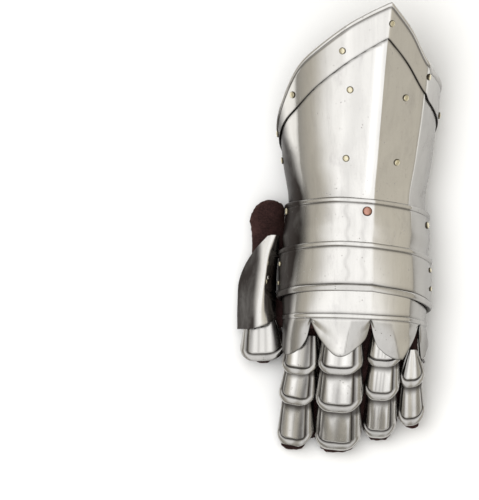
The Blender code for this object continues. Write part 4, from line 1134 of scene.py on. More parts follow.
def lame(name, top_rows, foot_rows, top_lift, foot_lift, steel, body_name, roll=False, seed=7):
    """A wrist lame: a bead runs along its top edge and, if asked, a thick roll along its foot."""
    places = fine_places(top_rows[0][0], top_rows[-1][0])
    top = edge(top_rows, places)
    foot = edge(foot_rows, places)
    shares = np.concatenate([np.linspace(0.0, 0.16, 18), np.linspace(0.16, 0.80, 26)[1:],
                             np.linspace(0.80, 1.0, 18)[1:]])
    alongs = between(top, foot, shares)
    long = (top - foot)[:, None] * LENGTH
    down = shares[None, :] * long
    up = long - down
    blend = ease(shares, 0.42, 0.67)[None, :]
    base = np.broadcast_to(top_lift + (foot_lift - top_lift) * blend, alongs.shape)
    bead = BEAD_LIFT * hump(down, BEAD_WIDTH * 0.5, BEAD_WIDTH * 0.5)
    groove = LAME_GROOVE * swell(down, BEAD_WIDTH * 1.15, 0.0010)
    # Painted dark reflection on the sides, and two wavering streaks of painted dark reflection
    # along the back
    tone = painted_side_reflection(places, alongs)
    grid = spread(places, alongs)
    wander = 3.30 + 0.05 * np.sin(alongs * 130.0 + seed)
    tone = tone + 0.16 * swell(grid, wander, 0.09) + 0.10 * swell(grid, wander + 0.45, 0.12)
    tone = darkest(
        tone, edge_shade_and_dirt("lame groove", down - BEAD_WIDTH * 1.12), edge_shade_and_dirt("lame top", down))
    lifted = base + bead - groove
    if roll:
        lifted = lifted + ROLL_LIFT * hump(up, ROLL_WIDTH * 0.45, ROLL_WIDTH * 0.5)
        lifted = lifted - ROLL_GROOVE * swell(up, ROLL_WIDTH * 1.06, GROOVE_HALF)
        # Painted shade with some grime in the roll's groove and along its foot, and painted shade
        # on the roll
        tone = darkest(
            tone, edge_shade_and_dirt("roll groove", up - ROLL_WIDTH * 1.02), edge_shade_and_dirt("roll foot", up),
            ROLL_SHADE * hump(up, ROLL_WIDTH * 0.5, ROLL_WIDTH * 0.5))
    else:
        # Painted shade with some grime along the foot
        tone = np.maximum(tone, edge_shade_and_dirt("lame foot", up))
    piece = wrapped(f"fine_{name}", places, alongs, lifted, base - PLATE, tone, steel, seed=seed)
    return place_piece(piece, body_name, "polished_steel", name)


def petal_share(places):
    """Where each place lies in its petal, from -1 at one side to 1 at the other."""
    sides = np.asarray(PETAL_SIDES)
    i = np.clip(np.searchsorted(sides, places, side="right") - 1, 0, len(sides) - 2)
    middle = (sides[i] + sides[i + 1]) / 2
    return (places - middle) / ((sides[i + 1] - sides[i]) / 2)


def petal_swing(places, drop):
    """How far each place lies past the middle line of its fold, in half petals."""
    share = petal_share(places)
    mirrored = (places > PETAL_SIDES[2]) & (places < PETAL_SIDES[3])
    return np.where(mirrored, -share, share)[:, None] - PETAL_TURN * (1.0 - drop)


def petal_relief(places, drop):
    """The petals' swelling and the fold that arches across each of them."""
    share = petal_share(places)[:, None]
    bulge = (1.0 - share * share) * np.sin(np.clip(drop, 0.0, 1.0) * math.pi * 0.6)
    swing = petal_swing(places, drop)
    facet = np.clip(np.abs(swing - PETAL_FOLD), 0.0, 0.8) * 0.0016 * ease(drop, 0.1, 0.6)
    return PETAL_BULGE * bulge - facet


def hand_plate(steel):
    knots = [row[0] for row in PETAL_FOOT]
    places = fine_places(knots[0], knots[-1], 0.03, knots)
    top = edge(HAND_TOP, places)
    knuckle = edge(KNUCKLE, places)
    foot = edge(PETAL_FOOT, places)
    bead = BEAD_WIDTH / LENGTH
    upper = between(top, knuckle + bead / 2, np.linspace(0.0, 1.0, 20))
    beads = between(knuckle + bead / 2, knuckle - bead / 2, np.linspace(0.0, 1.0, 12)[1:])
    petals = between(knuckle - bead / 2, foot, np.linspace(0.0, 1.0, 40)[1:])
    alongs = np.concatenate([upper, beads, petals], axis=1)
    drop = np.broadcast_to(
        np.concatenate([np.zeros(31), np.linspace(0.0, 1.0, 40)[1:]]), alongs.shape)
    relief = petal_relief(places, drop) * (drop > 0)
    away = (alongs - knuckle[:, None]) * LENGTH
    raised = BEAD_LIFT * hump(away, 0.0, BEAD_WIDTH / 2)
    raised = raised - KNUCKLE_GROOVE * swell(np.abs(away), BEAD_WIDTH * 0.62, 0.0009)
    share = np.abs(petal_share(places))[:, None]
    swing = petal_swing(places, drop)
    # Painted shade on the petals: darker on one side of each fold, lighter near the middle of the
    # other
    facet_shade = 0.13 + 0.24 * ease(swing, PETAL_FOLD - 0.05, PETAL_FOLD + 0.05)
    facet_shade = facet_shade - 0.14 * swell(swing, -0.15, 0.3) * ease(drop, 0.3, 0.8)
    # Painted dark reflection on the sides, painted shade with some grime by the knuckle bead and
    # along the petals' foot, a line of painted shade along each fold, and painted shade at the
    # petals' sides in the notches
    tone = darkest(
        painted_side_reflection(places, alongs), edge_shade_and_dirt("knuckle groove", np.abs(away) - BEAD_WIDTH * 0.55),
        facet_shade * ease(drop, 0.02, 0.12),
        0.48 * swell(swing, PETAL_FOLD, 0.06) * ease(drop, 0.05, 0.4),
        ease(share, 0.90, 1.0) * (drop > 0.02) * 0.85,
        edge_shade_and_dirt("petal foot", (alongs - foot[:, None]) * LENGTH))
    piece = wrapped("fine_hand_plate", places, alongs, relief + raised, relief - PLATE, tone, steel,
                    seed=11)
    return place_piece(piece, "hand", "polished_steel", "hand_plate")


# Finger scales

# Where the groove beside the rim runs on each side, as a share of the half width
SCALE_GROOVES = {"index": (0.88, 0.72), "middle": (0.88, 0.68), "ring": (0.97, 0.72),
                 "little": (0.95, 0.95), "thumb": (0.8, 0.95)}
# Streaks that the steel mirrors: share across, half width and strength, bright when negative
SCALE_MARKS = {
    "index": ((0.50, 0.36, 0.65), (-0.80, 0.12, 0.6), (-0.05, 0.10, 0.16), (-0.35, 0.25, -0.3)),
    "middle": ((-0.76, 0.14, 0.7), (-0.05, 0.18, 0.20), (-0.42, 0.16, -0.3), (0.28, 0.2, -0.35),
               (0.62, 0.12, 0.4)),
    "ring": ((-0.40, 0.10, 0.30), (-0.12, 0.10, 0.2), (0.12, 0.12, 0.26), (0.45, 0.2, -0.3),
             (0.78, 0.12, 0.6)),
    "little": ((0.60, 0.30, 0.35), (-0.75, 0.20, 0.5), (0.05, 0.1, 0.15), (-0.2, 0.2, -0.2)),
    "thumb": ((-0.7, 0.25, 0.5), (-0.25, 0.12, 0.25), (0.15, 0.15, 0.2), (0.65, 0.25, 0.6)),
}


def scale_section(columns):
    """The cross section of a scale as a smooth curve: across and depth."""
    rows = np.asarray(SCALE_SECTION, float)
    return evenly(rows, rows, columns)


def rim_distance(section, shares, half, length, left_groove, right_groove):
    """How far each point lies in from the scale's edge, with rounded corners.

    The rim takes in the whole side of the scale, from its groove on the back to its lower edge.
    """
    gone = run_length(section * half)
    total = gone[-1]
    left = np.interp(-left_groove, section[:, 0], gone)
    right = total - np.interp(right_groove, section[:, 0], gone)
    broad = RIM_WIDTH * 1.1
    from_left = np.where(gone < left, gone / left * broad, gone - left + broad)
    back = total - gone
    from_right = np.where(back < right, back / right * broad, back - right + broad)
    side = np.minimum(from_left, from_right)[:, None]
    foot = ((1.0 - shares) * length)[None, :]
    near = RIM_CORNER - np.hypot(np.maximum(RIM_CORNER - side, 0.0),
                                 np.maximum(RIM_CORNER - foot, 0.0))
    inside = (side < RIM_CORNER) & (foot < RIM_CORNER)
    return np.maximum(np.where(inside, near, np.minimum(side, foot)), 0.0)


def streaks(across, shares, marks):
    """Dark and bright streaks along a scale: share across, half width and strength of each."""
    lean = across[:, None] + 0.10 * (shares[None, :] - 0.7)
    return sum(strength * swell(lean, middle, half) for middle, half, strength in marks)


def finger_scale(name, path, span, roll, steel, leaf=0.0, first=False, seed=1,
                 grooves=(0.84, 0.84), marks=()):
    """One scale with a rolled rim round its sides and foot. Leaf narrows its upper end."""
    start, end, half_share, depth_share = span
    half = half_share * WIDTH
    depth = depth_share * WIDTH
    length = (start - end) * LENGTH
    shares = np.concatenate([np.linspace(0.0, 0.6, 24), np.linspace(0.6, 1.0, 40)[1:]])
    section = scale_section(SCALE_COLUMNS)
    bases = []
    for across, down in section:
        start_at = CORNER_STARTS[int(across > 0)]
        turn = np.clip((abs(across) - start_at) / (1.0 - start_at), 0.0, 1.0)
        corner = CORNER_DEPTHS[int(across > 0)] * (1.0 - math.sqrt(1.0 - turn * turn))
        top, side, up = along_finger(path, start + (end - start) * shares * (1.0 - corner))
        side, up = rolled(side, up, roll)
        one_side = leaf if across > 0 else leaf * THUMB_SIDE_LEAF
        narrow = 1.0 - one_side * (1.0 - shares) ** 1.5
        bases.append(top + side * (across * half * narrow)[:, None]
                     - up * (down * depth * narrow)[:, None])
    base = np.array(bases)
    normals = grid_normals(base)
    if normals[len(normals) // 2, 5, 2] < 0:
        normals = -normals
    away = rim_distance(section, shares, half, length, *grooves)
    lift = SHINGLE_START + SHINGLE_LIFT * shares
    middle = base + normals * np.broadcast_to(lift, away.shape)[..., None]
    uneven = waves(base, 0.022, seed) * 0.00006
    rim = RIM_LIFT * hump(away, RIM_WIDTH * 0.5, RIM_WIDTH * 0.5)
    groove = SCALE_GROOVE * swell(away, RIM_WIDTH * 1.1, 0.0010)
    outer = middle + normals * (rim - groove + uneven)[..., None]
    inner = middle - normals * PLATE
    inside = ease(away, RIM_WIDTH * 1.0, RIM_WIDTH * 1.2)
    tone = (streaks(section[:, 0], shares, marks) + SCALE_TONE) * inside
    # Painted shade on the rim
    tone = tone + RIM_SHADE * (1.0 - inside)
    tone = np.where(tone > 0.0, tone, tone * (away > RIM_WIDTH * 1.3))
    # Painted shade with some grime in the groove beside the rim and along the edge
    groove_shade = edge_shade_and_dirt("scale groove", away - RIM_WIDTH * 1.08)
    tone = np.where(groove_shade > 0.1, np.maximum(tone, groove_shade), tone)
    tone = np.where(away < 0.0012, np.maximum(tone, edge_shade_and_dirt("scale edge", away)), tone)
    # Painted shade on the scale's steep sides
    skirt = ease(section[:, 1], 0.25, 0.75)[:, None]
    tone = np.where(skirt > 0.0, np.maximum(tone, 0.9 * skirt), tone)
    if not first:
        # Painted shade on the upper end, which the scale before it covers
        upper = 0.9 * (1.0 - ease(shares, 0.20, 0.40))[None, :]
        tone = np.where(upper > 0.0, np.maximum(tone, upper), tone)
    piece = plate(f"fine_{name}", outer, inner, steel, tone)
    return place_piece(piece, "hand", "polished_steel", name)


# Thumb

def thumb_plate(steel):
    places = np.linspace(0.0, 3.0, 61)
    foot = edge(THUMB_PLATE_FOOT, places)
    alongs = between(np.full(places.shape, THUMB_PLATE[0][0]), foot, np.linspace(0.0, 1.0, 76))
    grid = spread(places, alongs)
    flat = np.ravel(grid)
    outer = thumb_surface(grid, alongs).reshape(*grid.shape, 3)
    normals = thumb_normal(flat, np.ravel(alongs)).reshape(*grid.shape, 3)
    uneven = waves(outer, 0.03, 21) * 0.0001
    outer = outer + normals * uneven[..., None]
    side = np.minimum(grid, 3.0 - grid)
    share = outer[..., 0] / WIDTH + 0.02 * waves(outer * (2.0, 0.5, 1.0), 0.02, 23)
    # Painted dark reflection on the outer part of the thumb plate, and painted shade with some
    # grime along its two side edges and its foot
    tone = darkest(
        0.92 * (1.0 - ease(share, -0.425, -0.375)) + 0.05,
        edge_shade_and_dirt("thumb side", side * 0.012),
        edge_shade_and_dirt("thumb foot", (alongs - foot[:, None]) * LENGTH))
    piece = plate("fine_thumb_plate", outer, outer - normals * PLATE, steel, tone)
    return place_piece(piece, "hand", "polished_steel", "thumb_plate")


# Rivets

RIVET_TILT = 0.05
RIVET_SEED = 4
STRAP_RIVET_PLACES = (0.56, 6.44)


def dome_profile():
    """Radius and height of a rivet head, both as shares of the head's radius."""
    turns = np.linspace(0.0, math.pi / 2, 9)
    crown = [(math.cos(t) ** 0.85 if t < math.pi / 2 else 0.0, 0.16 + 0.42 * math.sin(t))
             for t in turns[:-1]]
    return [(0.45, -0.55), (0.45, -0.1), (0.90, -0.1), (1.0, -0.02), (1.03, 0.06), *crown]


def turned(name, profile, sides, finish):
    """A turned shape about Z, closed at both ends, with painted shade as tone low on its head and
    in its hollow corners.
    """
    verts = []
    tone = []
    for radius, height in profile:
        for k in range(sides):
            turn = 2.0 * math.pi * k / sides
            verts.append((radius * math.cos(turn), radius * math.sin(turn), height))
            tone.append(float(ease(0.50 - height, 0.0, 0.22)))
    mesh = mesh_of(name, verts, loop_faces(len(profile), sides))
    with_tone(mesh, tone)
    return smooth_piece(mesh, name, finish)


def scatter_group():
    """Geometry nodes that set one copy of a shape on each point, facing as the point says."""
    group = bpy.data.node_groups.new("set_on_points", "GeometryNodeTree")
    g = Graph(group)
    for name, kind in (("Points", "Geometry"), ("Shape", "Object"), ("Finish", "Material"),
                       ("Unevenness", "Float"), ("Seed", "Int")):
        group.interface.new_socket(name, in_out="INPUT", socket_type="NodeSocket" + kind)
    group.interface.new_socket("Result", in_out="OUTPUT", socket_type="NodeSocketGeometry")
    given = g.node("NodeGroupInput")
    named = "GeometryNodeInputNamedAttribute"
    facing = g.node(named, {"data_type": "FLOAT_VECTOR"}, Name="facing").out("Attribute")
    size = g.node(named, {"data_type": "FLOAT"}, Name="size").out("Attribute")
    align = g.node("FunctionNodeAlignRotationToVector", {"axis": "Z"}, Vector=facing)
    most = given.out("Unevenness")
    least = most * -1.0
    low = g.node("ShaderNodeCombineXYZ", X=least, Y=least, Z=least).out("Vector")
    high = g.node("ShaderNodeCombineXYZ", X=most, Y=most, Z=most).out("Vector")
    chance = g.node("FunctionNodeRandomValue", {"data_type": "FLOAT_VECTOR"}, Min=low, Max=high,
                    Seed=given.out("Seed")).out("Value")
    tilt = g.node("FunctionNodeEulerToRotation", Euler=chance).out("Rotation")
    turn = g.node("FunctionNodeRotateRotation", {"rotation_space": "LOCAL"},
                  Rotation=align.out("Rotation"), Rotate_By=tilt).out("Rotation")
    shape = g.node("GeometryNodeObjectInfo", Object=given.out("Shape")).out("Geometry")
    copies = g.node("GeometryNodeInstanceOnPoints", Points=given.out("Points"), Instance=shape,
                    Rotation=turn, Scale=size).out("Instances")
    real = g.node("GeometryNodeRealizeInstances", Geometry=copies).out("Geometry")
    done = g.node("GeometryNodeSetMaterial", Geometry=real, Material=given.out("Finish"))
    result = g.node("NodeGroupOutput").node
    g.join(done.out("Geometry"), result.inputs["Result"])
    return group


def set_on_points(name, spots, facings, sizes, shape, finish, group, unevenness=0.0, seed=1):
    """A plain mesh of copies of shape, one on each spot."""
    mesh = mesh_of(name, spots, [])
    facing = mesh.attributes.new("facing", "FLOAT_VECTOR", "POINT")
    facing.data.foreach_set("vector", np.asarray(facings, float).ravel())
    mesh.attributes.new("size", "FLOAT", "POINT").data.foreach_set("value", list(sizes))
    obj = linked(mesh, name)
    modifier = obj.modifiers.new("copies", "NODES")
    modifier.node_group = group
    values = {"Shape": shape, "Finish": finish, "Unevenness": unevenness, "Seed": seed}
    for item in group.interface.items_tree:
        if item.in_out == "INPUT" and item.name in values:
            modifier[item.identifier] = values[item.name]
    return settled(obj)


def settled(obj):
    """Replaces an object's mesh by what its modifiers make of it."""
    graph = bpy.context.evaluated_depsgraph_get()
    mesh = bpy.data.meshes.new_from_object(obj.evaluated_get(graph))
    obj.modifiers.clear()
    old = obj.data
    obj.data = mesh
    bpy.data.meshes.remove(old)
    return obj


def rivet_spot(place, along, lift):
    place = np.array([place])
    along = np.array([along])
    normal = outward(place, along)[0]
    return body(place, along)[0] + normal * lift, normal


def rivets(name, body_name, spots, radius, finish, slot, shape, group, nodes):
    """The rivets of one kind on one body, as one piece."""
    points, facings = zip(*spots)
    piece = set_on_points(name, points, facings, [radius] * len(spots), shape, finish, group,
                          RIVET_TILT, RIVET_SEED)
    return place_piece(piece, body_name, slot, *nodes)


def all_rivets(steel, yellow, red):
    group = scatter_group()
    shape = turned("rivet_shape", dome_profile(), 28, yellow)
    both_sides = ("thumb_side", "little_side")

    def on_body(spots, lift):
        return [rivet_spot(place, along, lift) for place, along in spots]

    def above(pairs):
        return [(place_at(across, along), along) for across, along in pairs]

    for name, spots, lift in (
            ("border", (*above(BORDER_RIVETS), *BORDER_SIDE_RIVETS), GAP + BORDER_PLATE),
            ("cuff", (*above(CUFF_RIVETS), *CUFF_SIDE_RIVETS), 0.0)):
        rivets(f"brass_{name}_rivets", "cuff", on_body(spots, lift), HEAD_RADIUS, yellow, "brass",
               shape, group, [f"{name}_rivet_{k + 1}" for k in range(len(spots))])
    rivets("copper_washer_rivet", "wrist", on_body(above([COPPER_RIVET]), LAP), COPPER_RADIUS,
           red, "copper", shape, group, ["copper_rivet"])
    for name, pivots, body_name, radius in (
            ("wrist_pivot", WRIST_PIVOTS, "wrist", HEAD_RADIUS),
            ("second_pivot", SECOND_PIVOTS, "second", SMALL_RADIUS),
            ("hand_pivot", HAND_PIVOTS, "second", SMALL_RADIUS)):
        rivets(f"brass_{name}s", body_name, on_body(pivots, LAP), radius, yellow, "brass", shape,
               group, [f"{name}_{side}" for side in both_sides])
    places = np.linspace(0.0, 3.0, 61)
    across, along = THUMB_RIVET
    x = thumb_surface(places, np.full(places.shape, along))[:, 0]
    place = np.array([np.interp(across * WIDTH, x, places)])
    spot = thumb_surface(place, [along])[0], thumb_normal(place, np.array([along]))[0]
    rivets("steel_thumb_rivet", "hand", [spot], SMALL_RADIUS, steel, "polished_steel", shape,
           group, ["thumb_rivet"])
    spots = [(place, STRAP_PLACE) for place in STRAP_RIVET_PLACES]
    rivets("steel_strap_rivets", "cuff", on_body(spots, 0.0), SMALL_RADIUS, steel,
           "polished_steel", shape, group, [f"strap_rivet_{side}" for side in both_sides])
    bpy.data.objects.remove(shape)


# Glove

# Pads under the fingers: how far they reach past the last scale and how long their round tip
# is, as shares of LENGTH, then half their thickness and their gap to the floor, in metres
PAD_PAST = 0.0095
PAD_ROUND = 0.014
PAD_HALF = 0.0024
PAD_CLEAR = 0.0006
# Webs between the fingers: where they run along, and how far they reach under the scales
WEB_START = -0.235
WEB_ENDS = (-0.472, -0.450, -0.425)
WEB_UNDER = 0.0036
# The fold of suede between thumb and wrist: across, along, height, half width, half height
SUEDE_FOLD = (
    (-0.304, 0.052, 0.140, 0.026, 0.040), (-0.306, 0.042, 0.138, 0.037, 0.068),
    (-0.306, 0.000, 0.130, 0.040, 0.070), (-0.308, -0.045, 0.125, 0.040, 0.070),
    (-0.312, -0.070, 0.120, 0.030, 0.045),
)
# The width of the pads as a share of that of the scales
PAD_WIDE = {"index": 0.90, "middle": 0.90, "ring": 0.90, "little": 0.88}
# The skin: size of its cells in metres, and the share and the rounds of its smoothing
SKIN_VOXEL = 0.0017
SKIN_SMOOTHING = (0.5, 4)
# Where the skin is open at the wrist: how far behind the first palm ring, and from which X on
OPEN_BEHIND = 0.0012
OPEN_FROM = -0.030
# Unevenness of the suede: size, seed and height of its waves
SUEDE_WAVES = ((0.012, 31, 0.0003), (0.0035, 37, 0.00035))


def finer(rings, count):
    """More rings on smooth curves through the given ones."""
    rings = np.asarray(rings)
    made = evenly(rings.mean(axis=1), rings.reshape(len(rings), -1), count)
    return made.reshape(count, *rings.shape[1:])


def finger_pad(path, scales, wide):
    """The sewn edge of the suede that lies under one finger and shows past its tip."""
    ends = scales[0][1], scales[-1][1] - PAD_PAST
    alongs = np.linspace(ends[0], ends[1], 20)
    halves, depths = scale_sizes(scales, alongs)
    spots, _, _ = along_finger(path, np.maximum(alongs, scales[-1][1]))
    lows = np.maximum(spots[:, 2] - depths, PAD_HALF + PAD_CLEAR)
    rings = []
    for spot, along, half, low in zip(spots, alongs, halves * wide, lows):
        close = np.clip((along - ends[1]) / PAD_ROUND, 0.0, 1.0)
        half = half * (0.55 + 0.45 * math.sqrt(1.0 - (1.0 - close) ** 2))
        turns = np.linspace(0.0, 2.0 * math.pi, 24, endpoint=False)
        across = np.sign(np.cos(turns)) * np.abs(np.cos(turns)) ** 0.6 * half
        up = np.sign(np.sin(turns)) * np.abs(np.sin(turns)) ** 0.6 * PAD_HALF
        rings.append(np.stack([spot[0] + across, np.full(24, along * LENGTH), low + up], axis=1))
    return np.array(rings)


def finger_web(one, other, end):
    """Suede in the gap between two fingers, below the sides of their scales."""
    alongs = np.linspace(WEB_START, end, 16)
    edges = []
    lows = []
    for (_, path, scales, *_), side in ((one, 1.0), (other, -1.0)):
        halves, depths = scale_sizes(scales, alongs)
        spots, _, _ = along_finger(path, alongs)
        edges.append(spots[:, 0] + side * halves)
        lows.append(spots[:, 2] - depths)
    middle = (edges[0] + edges[1]) / 2
    half = np.maximum(edges[1] - edges[0], 0.0) / 2 + WEB_UNDER
    low = np.maximum(np.minimum(*lows) - PAD_HALF - PAD_CLEAR, PAD_HALF + PAD_CLEAR)
    across, up = np.array([1.0, 0.0, 0.0]), np.array([0.0, 0.0, 1.0])
    return [ring_points(np.array([x, along * LENGTH, z]), across, up, wide, PAD_HALF, 16)
            for x, along, z, wide in zip(middle, alongs, low, half)]


def suede_glove(suede):
    """The glove's fingers, thumb and palm as one soft skin that is open at the wrist."""
    parts = [palm_rings()]
    for _, *shape in FINGERS:
        parts.append(finer(finger_stall(*shape, 24), 30))
    for name, path, scales, *_ in FINGERS:
        parts.append(finger_pad(path, scales, PAD_WIDE[name]))
    for one, other, end in zip(FINGERS, FINGERS[1:], WEB_ENDS):
        parts.append(finger_web(one, other, end))
    parts.append(finer(flat_rings(THUMB_RINGS, 28), 44))
    parts.append(flat_rings(WEB_RINGS, 20))
    parts.append(finer(flat_rings(SUEDE_FOLD, 20), 16))
    verts = []
    faces = []
    for rings in map(np.asarray, parts):
        loops = loop_faces(*rings.shape[:2])
        faces += [tuple(v + len(verts) for v in loop) for loop in loops]
        verts += rings.reshape(-1, 3).tolist()
    obj = linked(mesh_of("fine_glove", verts, faces), "fine_glove")
    work = facing_out(obj.data)
    work.to_mesh(obj.data)
    work.free()
    remesh = obj.modifiers.new("skin", "REMESH")
    remesh.mode = "VOXEL"
    remesh.voxel_size = SKIN_VOXEL
    smooth = obj.modifiers.new("soft", "SMOOTH")
    smooth.factor, smooth.iterations = SKIN_SMOOTHING
    settled(obj)
    work = bmesh.new()
    work.from_mesh(obj.data)
    open_at = PALM_STATIONS[0] * LENGTH - OPEN_BEHIND
    gone = [f for f in work.faces
            if f.calc_center_median().y > open_at and f.normal.y > 0.5
            and f.calc_center_median().x > OPEN_FROM]
    bmesh.ops.delete(work, geom=gone, context="FACES")
    work.normal_update()
    for v in work.verts:
        spot = np.array(v.co)
        ragged = sum(waves(spot[None], *wave[:2]) * wave[2] for wave in SUEDE_WAVES)
        v.co += v.normal * float(ragged[0])
    work.to_mesh(obj.data)
    work.free()
    wall = obj.modifiers.new("wall", "SOLIDIFY")
    wall.thickness = SUEDE
    wall.offset = -1.0
    settled(obj)
    obj.data.polygons.foreach_set("use_smooth", [True] * len(obj.data.polygons))
    obj.data.materials.clear()
    obj.data.materials.append(suede)
    return place_piece(obj, "hand", "suede", "glove_palm", "glove_thumb",
                       *(f"glove_{finger[0]}" for finger in FINGERS))


# Strap and buckle

def strap_band(name, path, leather, points=150):
    """A leather strap with rounded, burnished edges, along a path in X and Z."""
    half = STRAP_WIDTH / LENGTH / 2
    shares = np.linspace(-1.0, 1.0, 25)
    outer = np.zeros((len(shares), points, 3))
    inner = np.zeros(outer.shape)
    for i, share in enumerate(shares):
        along = STRAP_PLACE + half * share
        line = np.asarray(path(along))
        spots = evenly(line, line, points)
        way = units(np.gradient(spots, axis=0))
        normal = np.stack([-way[:, 1], way[:, 0]], axis=1)
        thick = STRAP / 2 * (1.0 - 0.22 * abs(share) ** 6)
        for grid, sign in ((outer, 1.0), (inner, -1.0)):
            flat = spots + normal * thick * sign
            grid[i, :, 0] = flat[:, 0]
            grid[i, :, 1] = along * LENGTH
            grid[i, :, 2] = flat[:, 1]
    tone = np.repeat(ease(np.abs(shares), 0.75, 1.0)[:, None], points, axis=1)
    piece = plate(f"fine_{name}", outer, inner, leather, tone, 0.0004, 60.0)
    return place_piece(piece, "cuff", "strap_leather", name)


def slotted(obj, low, high):
    """Cuts a box-shaped slot out of a piece."""
    x0, y0, z0 = low
    x1, y1, z1 = high
    verts = [(x, y, z) for z in (z0, z1) for x, y in ((x0, y0), (x1, y0), (x1, y1), (x0, y1))]
    faces = [(0, 3, 2, 1), (4, 5, 6, 7), (0, 1, 5, 4), (1, 2, 6, 5), (2, 3, 7, 6), (3, 0, 4, 7)]
    cutter = linked(mesh_of("slot_shape", verts, faces), "slot_shape")
    modifier = obj.modifiers.new("slot", "BOOLEAN")
    modifier.operation = "DIFFERENCE"
    modifier.solver = "EXACT"
    modifier.object = cutter
    settled(obj)
    bpy.data.objects.remove(cutter)
    return obj


def swept(name, rings, finish, closed, tone=0.15):
    """A bar through rings of points, joined end to end when closed."""
    rings = np.asarray(rings)
    mesh = mesh_of(name, rings.reshape(-1, 3), loop_faces(*rings.shape[:2], closed))
    with_tone(mesh, [tone] * len(mesh.vertices))
    work = facing_out(mesh)
    work.to_mesh(mesh)
    work.free()
    return smooth_piece(mesh, name, finish)


BUCKLE_CORNER = 0.0016
# The prong's loop round the near bar: its inner radius and half its thickness
LOOP_INSIDE = WIRE / 2 * 1.42 + GAP * 0.6
PRONG_HALF = 0.00055


def buckle_frame(steel):
    """A rectangular wire frame with rounded corners."""
    x, z = near_bar()
    middle = STRAP_PLACE * LENGTH
    wire = WIRE / 2
    low = np.array([x, middle - BUCKLE_WIDTH / 2 + wire])
    high = np.array([x + BUCKLE_LENGTH - WIRE, middle + BUCKLE_WIDTH / 2 - wire])
    line = []
    for cx, cy, first in ((high[0], high[1], 0), (low[0], high[1], 90), (low[0], low[1], 180),
                          (high[0], low[1], 270)):
        inset_x = cx - math.copysign(BUCKLE_CORNER, cx - (low[0] + high[0]) / 2)
        inset_y = cy - math.copysign(BUCKLE_CORNER, cy - middle)
        for step in range(7):
            turn = math.radians(first + 15 * step)
            line.append((inset_x + BUCKLE_CORNER * math.cos(turn),
                         inset_y + BUCKLE_CORNER * math.sin(turn), math.cos(turn), math.sin(turn)))
    rings = []
    for px, py, ox, oy in line:
        ring = []
        for k in range(14):
            turn = 2.0 * math.pi * k / 14
            out, up = wire * math.cos(turn), wire * math.sin(turn)
            ring.append((px + ox * out, py + oy * out, z + up))
        rings.append(ring)
    piece = swept("fine_buckle_frame", rings, steel, True)
    return place_piece(piece, "cuff", "polished_steel", "buckle_frame")


def buckle_prong(steel):
    """A loop round the near bar and a tapered tongue that rests on the far bar."""
    x, z = near_bar()
    middle = STRAP_PLACE * LENGTH
    loop = LOOP_INSIDE + PRONG_HALF
    far = x + BUCKLE_LENGTH - WIRE
    tip = z - WIRE / 2 - GAP - PRONG / 2
    spots = []
    for turn in np.linspace(-300.0, 0.0, 26):
        angle = math.radians(turn)
        spots.append((x + loop * math.cos(angle), z + loop * math.sin(angle), PRONG_HALF))
    for share in np.linspace(0.08, 1.0, 16):
        start = (x + loop, z)
        end = (far + WIRE * 0.6, tip)
        spots.append((start[0] + (end[0] - start[0]) * share,
                      start[1] + (end[1] - start[1]) * float(ease(share, 0.0, 0.9)),
                      PRONG_HALF + 0.00025 * math.sin(math.pi * share) - 0.0001 * share))
    spots = np.array(spots)
    way = units(np.gradient(spots[:, :2], axis=0))
    normal = np.stack([-way[:, 1], way[:, 0]], axis=1)
    rings = []
    for spot, up in zip(spots, normal):
        ring = []
        for k in range(12):
            turn = 2.0 * math.pi * k / 12
            rise = spot[2] * math.sin(turn)
            ring.append((spot[0] + up[0] * rise, middle + PRONG / 2 * math.cos(turn),
                         spot[1] + up[1] * rise))
        rings.append(ring)
    piece = swept("fine_buckle_prong", rings, steel, False)
    return place_piece(piece, "cuff", "polished_steel", "buckle_prong")


def strap_and_buckle(leather, steel):
    x, z = near_bar()
    middle = STRAP_PLACE * LENGTH
    ring_out = LOOP_INSIDE + 2 * PRONG_HALF
    slot = PRONG / 2 + GAP
    loop = ring_out + STRAP + 2 * GAP
    strap = strap_band("strap", long_strap_path, leather)
    slotted(strap, (x + ring_out - GAP, middle - slot * 1.3, z - 0.006),
            (x + ring_out + 0.0075, middle + slot * 1.3, z + 0.006))
    short = strap_band("strap_end", short_strap_path, leather)
    slotted(short, (x - ring_out - GAP, middle - slot, z - loop),
            (x + loop, middle + slot, z + loop))
    buckle_frame(steel)
    buckle_prong(steel)


# Floor, light and camera

# The view: metres to a pixel, the point looked at, and its height in pixels
PIXEL = 0.00075
VIEW_CENTRE = (-0.07425, -0.018)
VIEW_TALL = 500
CAMERA_HEIGHT = 1.2
FLOOR_HALF = 3.0
FLOOR_DROP = 0.0002
LAMP_SPOT = (-0.25, 0.15, 1.2)
LAMP_SIZE = (0.9, 0.9)
LAMP_POWER = 9.0

STUDIO_STRENGTH = 1.8
# What full warmth takes from red, green and blue, and how much darker the studio's ends are
WARM_FADES = (0.0, 0.055, 0.17)
END_FADE = 0.25
# The studio as it is mirrored in the steel: angle from straight up, towards the little finger
# when positive, then brightness and warmth
STUDIO = (
    (-180, 0.42, 0.2), (-112, 0.26, 0.4), (-92, 0.34, 0.6), (-78, 0.42, 0.8), (-65, 0.50, 1.0),
    (-54, 0.58, 1.0), (-46, 0.70, 0.7), (-39, 1.05, 0.1), (-31, 1.46, 0.0), (-21, 1.30, 0.0),
    (-12, 1.20, 0.0), (-4, 1.40, 0.0), (7, 1.24, 0.0), (17, 1.45, 0.0), (25, 1.05, 0.4),
    (33, 0.76, 0.9), (46, 0.68, 1.1), (60, 0.66, 1.1), (74, 0.62, 1.0), (90, 0.44, 0.9),
    (110, 0.44, 0.6), (180, 0.42, 0.2),
)


